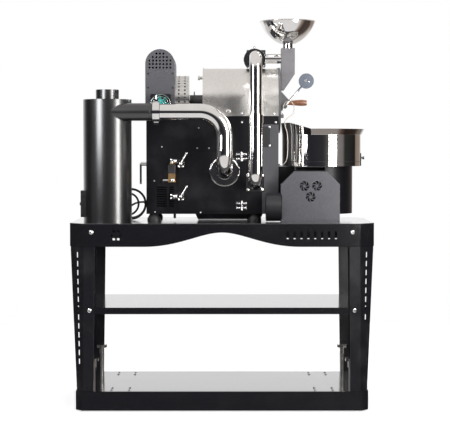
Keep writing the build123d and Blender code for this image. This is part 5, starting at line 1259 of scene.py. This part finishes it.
for row in range(-last_row, last_row + 1):
    for column in range(-last_row, last_row + 1):
        middle = (sieve_centre[0] + column * sieve_pitch, sieve_centre[1] + row * sieve_pitch)
        reach = ((column * sieve_pitch) ** 2 + (row * sieve_pitch) ** 2) ** 0.5
        if reach < sieve_inner + sieve_pitch / 2 or reach > sieve_outer - sieve_pitch / 2:
            continue
        rims = []
        for height in (sieve_high, sieve_low):
            hole = []
            square = []
            for step in range(hole_steps):
                angle = step * 2 * pi / hole_steps
                bulge = max(abs(cos(angle)), abs(sin(angle)))
                for ring, radius in ((hole, sieve_hole), (square, sieve_pitch / 2 / bulge)):
                    ring.append(
                        sieve_form.verts.new(
                            (
                                (middle[0] + radius * cos(angle)) / 1000,
                                (middle[1] + radius * sin(angle)) / 1000,
                                height / 1000,
                            )
                        )
                    )
            rims.append((hole, square))
        for step in range(hole_steps):
            after = (step + 1) % hole_steps
            top_hole, top_square = rims[0]
            low_hole, low_square = rims[1]
            sieve_form.faces.new((top_hole[step], top_square[step], top_square[after], top_hole[after]))
            sieve_form.faces.new((low_hole[after], low_square[after], low_square[step], low_hole[step]))
            sieve_form.faces.new((top_hole[after], low_hole[after], low_hole[step], top_hole[step]))
for inner, outer in ((8.5, 21.5), (141.5, 154.0)):
    turned_form(
        sieve_form,
        [(inner, 0.0), (outer, 0.0), (outer, sieve_ring_height), (inner, sieve_ring_height)],
        (*sieve_centre, sieve_low),
        (0, 0, 1),
        steps=96,
    )
bmesh.ops.remove_doubles(sieve_form, verts=sieve_form.verts, dist=0.000002)
new_piece("sieve_plate", sieve_form, brushed_steel)
gate_finish = second_zone(
    grained(
        "gate_steel",
        dark=(0.78, 0.77, 0.75),
        light=(0.85, 0.84, 0.83),
        smooth=0.04,
        rough=0.09,
        scale=30,
        height=0.000003,
        metallic=1.0,
    ),
    [("X", 0.5568, None)],
    colour=(0.012, 0.012, 0.013),
    metallic=0.0,
    roughness=0.4,
)
dress(gate_finish, "tray_gate")
fan_box_coat = second_zone(
    second_zone(
        grained(
            "fan_box_coat",
            dark=(0.048, 0.048, 0.058),
            light=(0.120, 0.120, 0.142),
            smooth=0.34,
            rough=0.52,
            scale=820,
            height=0.00006,
            marks=0.3,
            edge=0.001,
        ),
        [("X", None, 0.2279)],
        colour=(0.012, 0.012, 0.015),
        metallic=0.0,
        roughness=0.38,
    ),
    [("Z", 0.9223, None)],
    colour=(0.012, 0.012, 0.015),
    metallic=0.0,
    roughness=0.32,
)
# Inside the box the sheet is painted near-black and matt: painted shade in its hollow, not the box's
# grey coat.
second_zone(
    fan_box_coat,
    [("X", 0.2301, 0.4529), ("Y", -0.1279, -0.0731), ("Z", None, 0.9199)],
    colour=(0.002, 0.002, 0.002),
    metallic=0.0,
    roughness=0.9,
)
dress(fan_box_coat, "fan_box")

# ---------------------------------------------------------------- probe lead
# A thin sheathed lead runs from the temperature probe's block on the faceplate,
# over in a loop, and down into the grey frame.


def in_metres(points):
    """These points, given in mm, in metres."""
    return [tuple(value / 1000 for value in point) for point in points]


def smooth_line(name, points, thickness, finish):
    """A round cord whose line is one smooth open spline through these points' corners."""
    line = bpy.data.curves.new(name, "CURVE")
    line.dimensions = "3D"
    line.bevel_depth = thickness / 2
    line.bevel_resolution = 5
    line.resolution_u = 10
    line.use_fill_caps = True
    run = line.splines.new("NURBS")
    run.points.add(len(points) - 1)
    for spot, point in zip(run.points, points):
        spot.co = (*point, 1)
    run.order_u = 3
    run.use_endpoint_u = True
    line.materials.append(finish)
    piece = bpy.data.objects.new(name, line)
    bpy.context.collection.objects.link(piece)
    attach(piece, "machine")
    return piece


lead_sheath = grained(
    "lead_sheath",
    dark=(0.30, 0.27, 0.23),
    light=(0.66, 0.62, 0.56),
    smooth=0.28,
    rough=0.5,
    scale=1500,
    height=0.00015,
    metallic=0.7,
)
lead_thickness = 0.004
lead_points = in_metres(
    [
        (238, -20, 1137),
        (238, -20, 1157),
        (244, -23, 1180),
        (262, -25, 1193),
        (279, -27, 1181),
        (285, -30, 1158),
        (279, -33, 1136),
        (259, -37, 1124),
        (245, -40, 1111),
        (247, -42, 1092),
        (254, -43, 1070),
        (257, -43, 1044),
        (257.5, -43, 1017),
        (257, -43, 992),
        (255.5, -43, 969),
        (250, -42.5, 951),
        (240, -42, 939),
        (227, -42, 939),
    ]
)
sheathed_lead = smooth_line("sheathed_lead", lead_points, lead_thickness, lead_sheath)
ferrule_form = bmesh.new()
turned_form(
    ferrule_form,
    [(1.7, 0), (3.3, 0), (3.6, 0.8), (3.6, 5.4), (3.0, 6.2), (3.0, 9.4), (2.5, 10.4), (1.7, 10.4)],
    (238, -20, 1140),
    (0, 0, 1),
)
turned_form(
    ferrule_form,
    [(1.7, 0), (3.2, 0), (3.2, 5.2), (2.5, 6.4), (1.7, 6.4)],
    (228, -42, 939),
    (1, 0, 0),
)
new_piece("lead_ferrules", ferrule_form, bright_screw)
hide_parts("probe_lead")

# ---------------------------------------------------------------- mains lead
# A rubber-sheathed lead leaves the cabinet's left side, runs along the table, is
# coiled upright between the cyclone and the cabinet, and ends in its plug behind
# the cyclone.
cord_rubber = grained(
    "cord_rubber",
    dark=(0.010, 0.010, 0.010),
    light=(0.020, 0.020, 0.021),
    smooth=0.34,
    rough=0.46,
    scale=600,
    height=0.00002,
)
cord_thickness = 0.008
cord_points = [
    (-320, 190, 785),
    (-346, 190, 785),
    (-376, 189, 768),
    (-410, 188, 741),
    (-446, 184, 724.2),
    (-482, 166, 724.2),
    (-505, 134, 724.2),
    (-513, 94, 724.2),
    (-504, 54, 724.2),
    (-478, 22, 724.2),
    (-438, 7, 724.2),
    (-402, 5, 724.2),
    (-370, 5, 724.2),
]
coil_x, coil_y, coil_z = -362, 5, 784.2
coil_radius = 60
coil_pitch = 9.2
coil_end_radius = 58
coil_reaches = ((-60, 60), (-59, 31), (-54, 58))
coil_steps = 12


def coil_points(shift, radius, start, depth, climb=0, steps=range(coil_steps)):
    """Points on a turn of the coil, in mm, twelve to a half turn, climbing as they go."""
    points = []
    for step in steps:
        turned_by = step * pi / coil_steps
        rise = climb * (1 - cos(turned_by)) / 2
        angle = start + turned_by
        points.append((coil_x + shift + radius * cos(angle), depth + rise, coil_z + radius * sin(angle)))
    return points


cord_points += coil_points(0, coil_radius, -pi / 2, coil_y, steps=range(1, coil_steps // 2))
right_reach = coil_radius
depth = coil_y
for left_reach, next_reach in coil_reaches:
    upper_middle = (right_reach + left_reach) / 2
    upper_radius = (right_reach - left_reach) / 2
    cord_points += coil_points(upper_middle, upper_radius, 0, depth, coil_pitch)
    depth += coil_pitch
    lower_middle = (next_reach + left_reach) / 2
    lower_radius = (next_reach - left_reach) / 2
    cord_points += coil_points(lower_middle, lower_radius, pi, depth)
    right_reach = next_reach
end_middle = right_reach - coil_end_radius
cord_points += coil_points(end_middle, coil_end_radius, 0, depth, steps=range(coil_steps // 2))
cord_points += [
    (-370, 32.6, 842.2),
    (-408, 32.6, 842.2),
    (-439, 32.4, 818),
    (-453, 33, 784),
    (-457, 40, 750),
    (-457, 58, 730.5),
    (-455, 84, 724.2),
    (-453, 108, 724.2),
]
gland_form = bmesh.new()
for along, rib in ((3.5, 9.4), (8.0, 8.9), (12.5, 8.2), (17.0, 7.5), (21.2, 6.8)):
    turned_form(
        gland_form,
        [(4.4, -1.0), (rib - 0.5, -1.0), (rib, -0.4), (rib, 0.4), (rib - 0.5, 1.0), (4.4, 1.0)],
        (-296 - along, 190, 785),
        (-1, 0, 0),
    )
new_piece("gland_ribs", gland_form, cord_rubber)
mains_lead = smooth_line("mains_lead", in_metres(cord_points), cord_thickness, cord_rubber)
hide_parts("power_cord", "cord_coil")
plug_moulding = second_zone(
    grained(
        "plug_moulding",
        dark=(0.010, 0.010, 0.010),
        light=(0.022, 0.022, 0.022),
        smooth=0.34,
        rough=0.46,
        scale=600,
        height=0.00002,
        edge=0.001,
    ),
    [("Y", 0.1462, None)],
    colour=(0.78, 0.76, 0.72),
    metallic=1.0,
    roughness=0.2,
)
dress(plug_moulding, "plug")
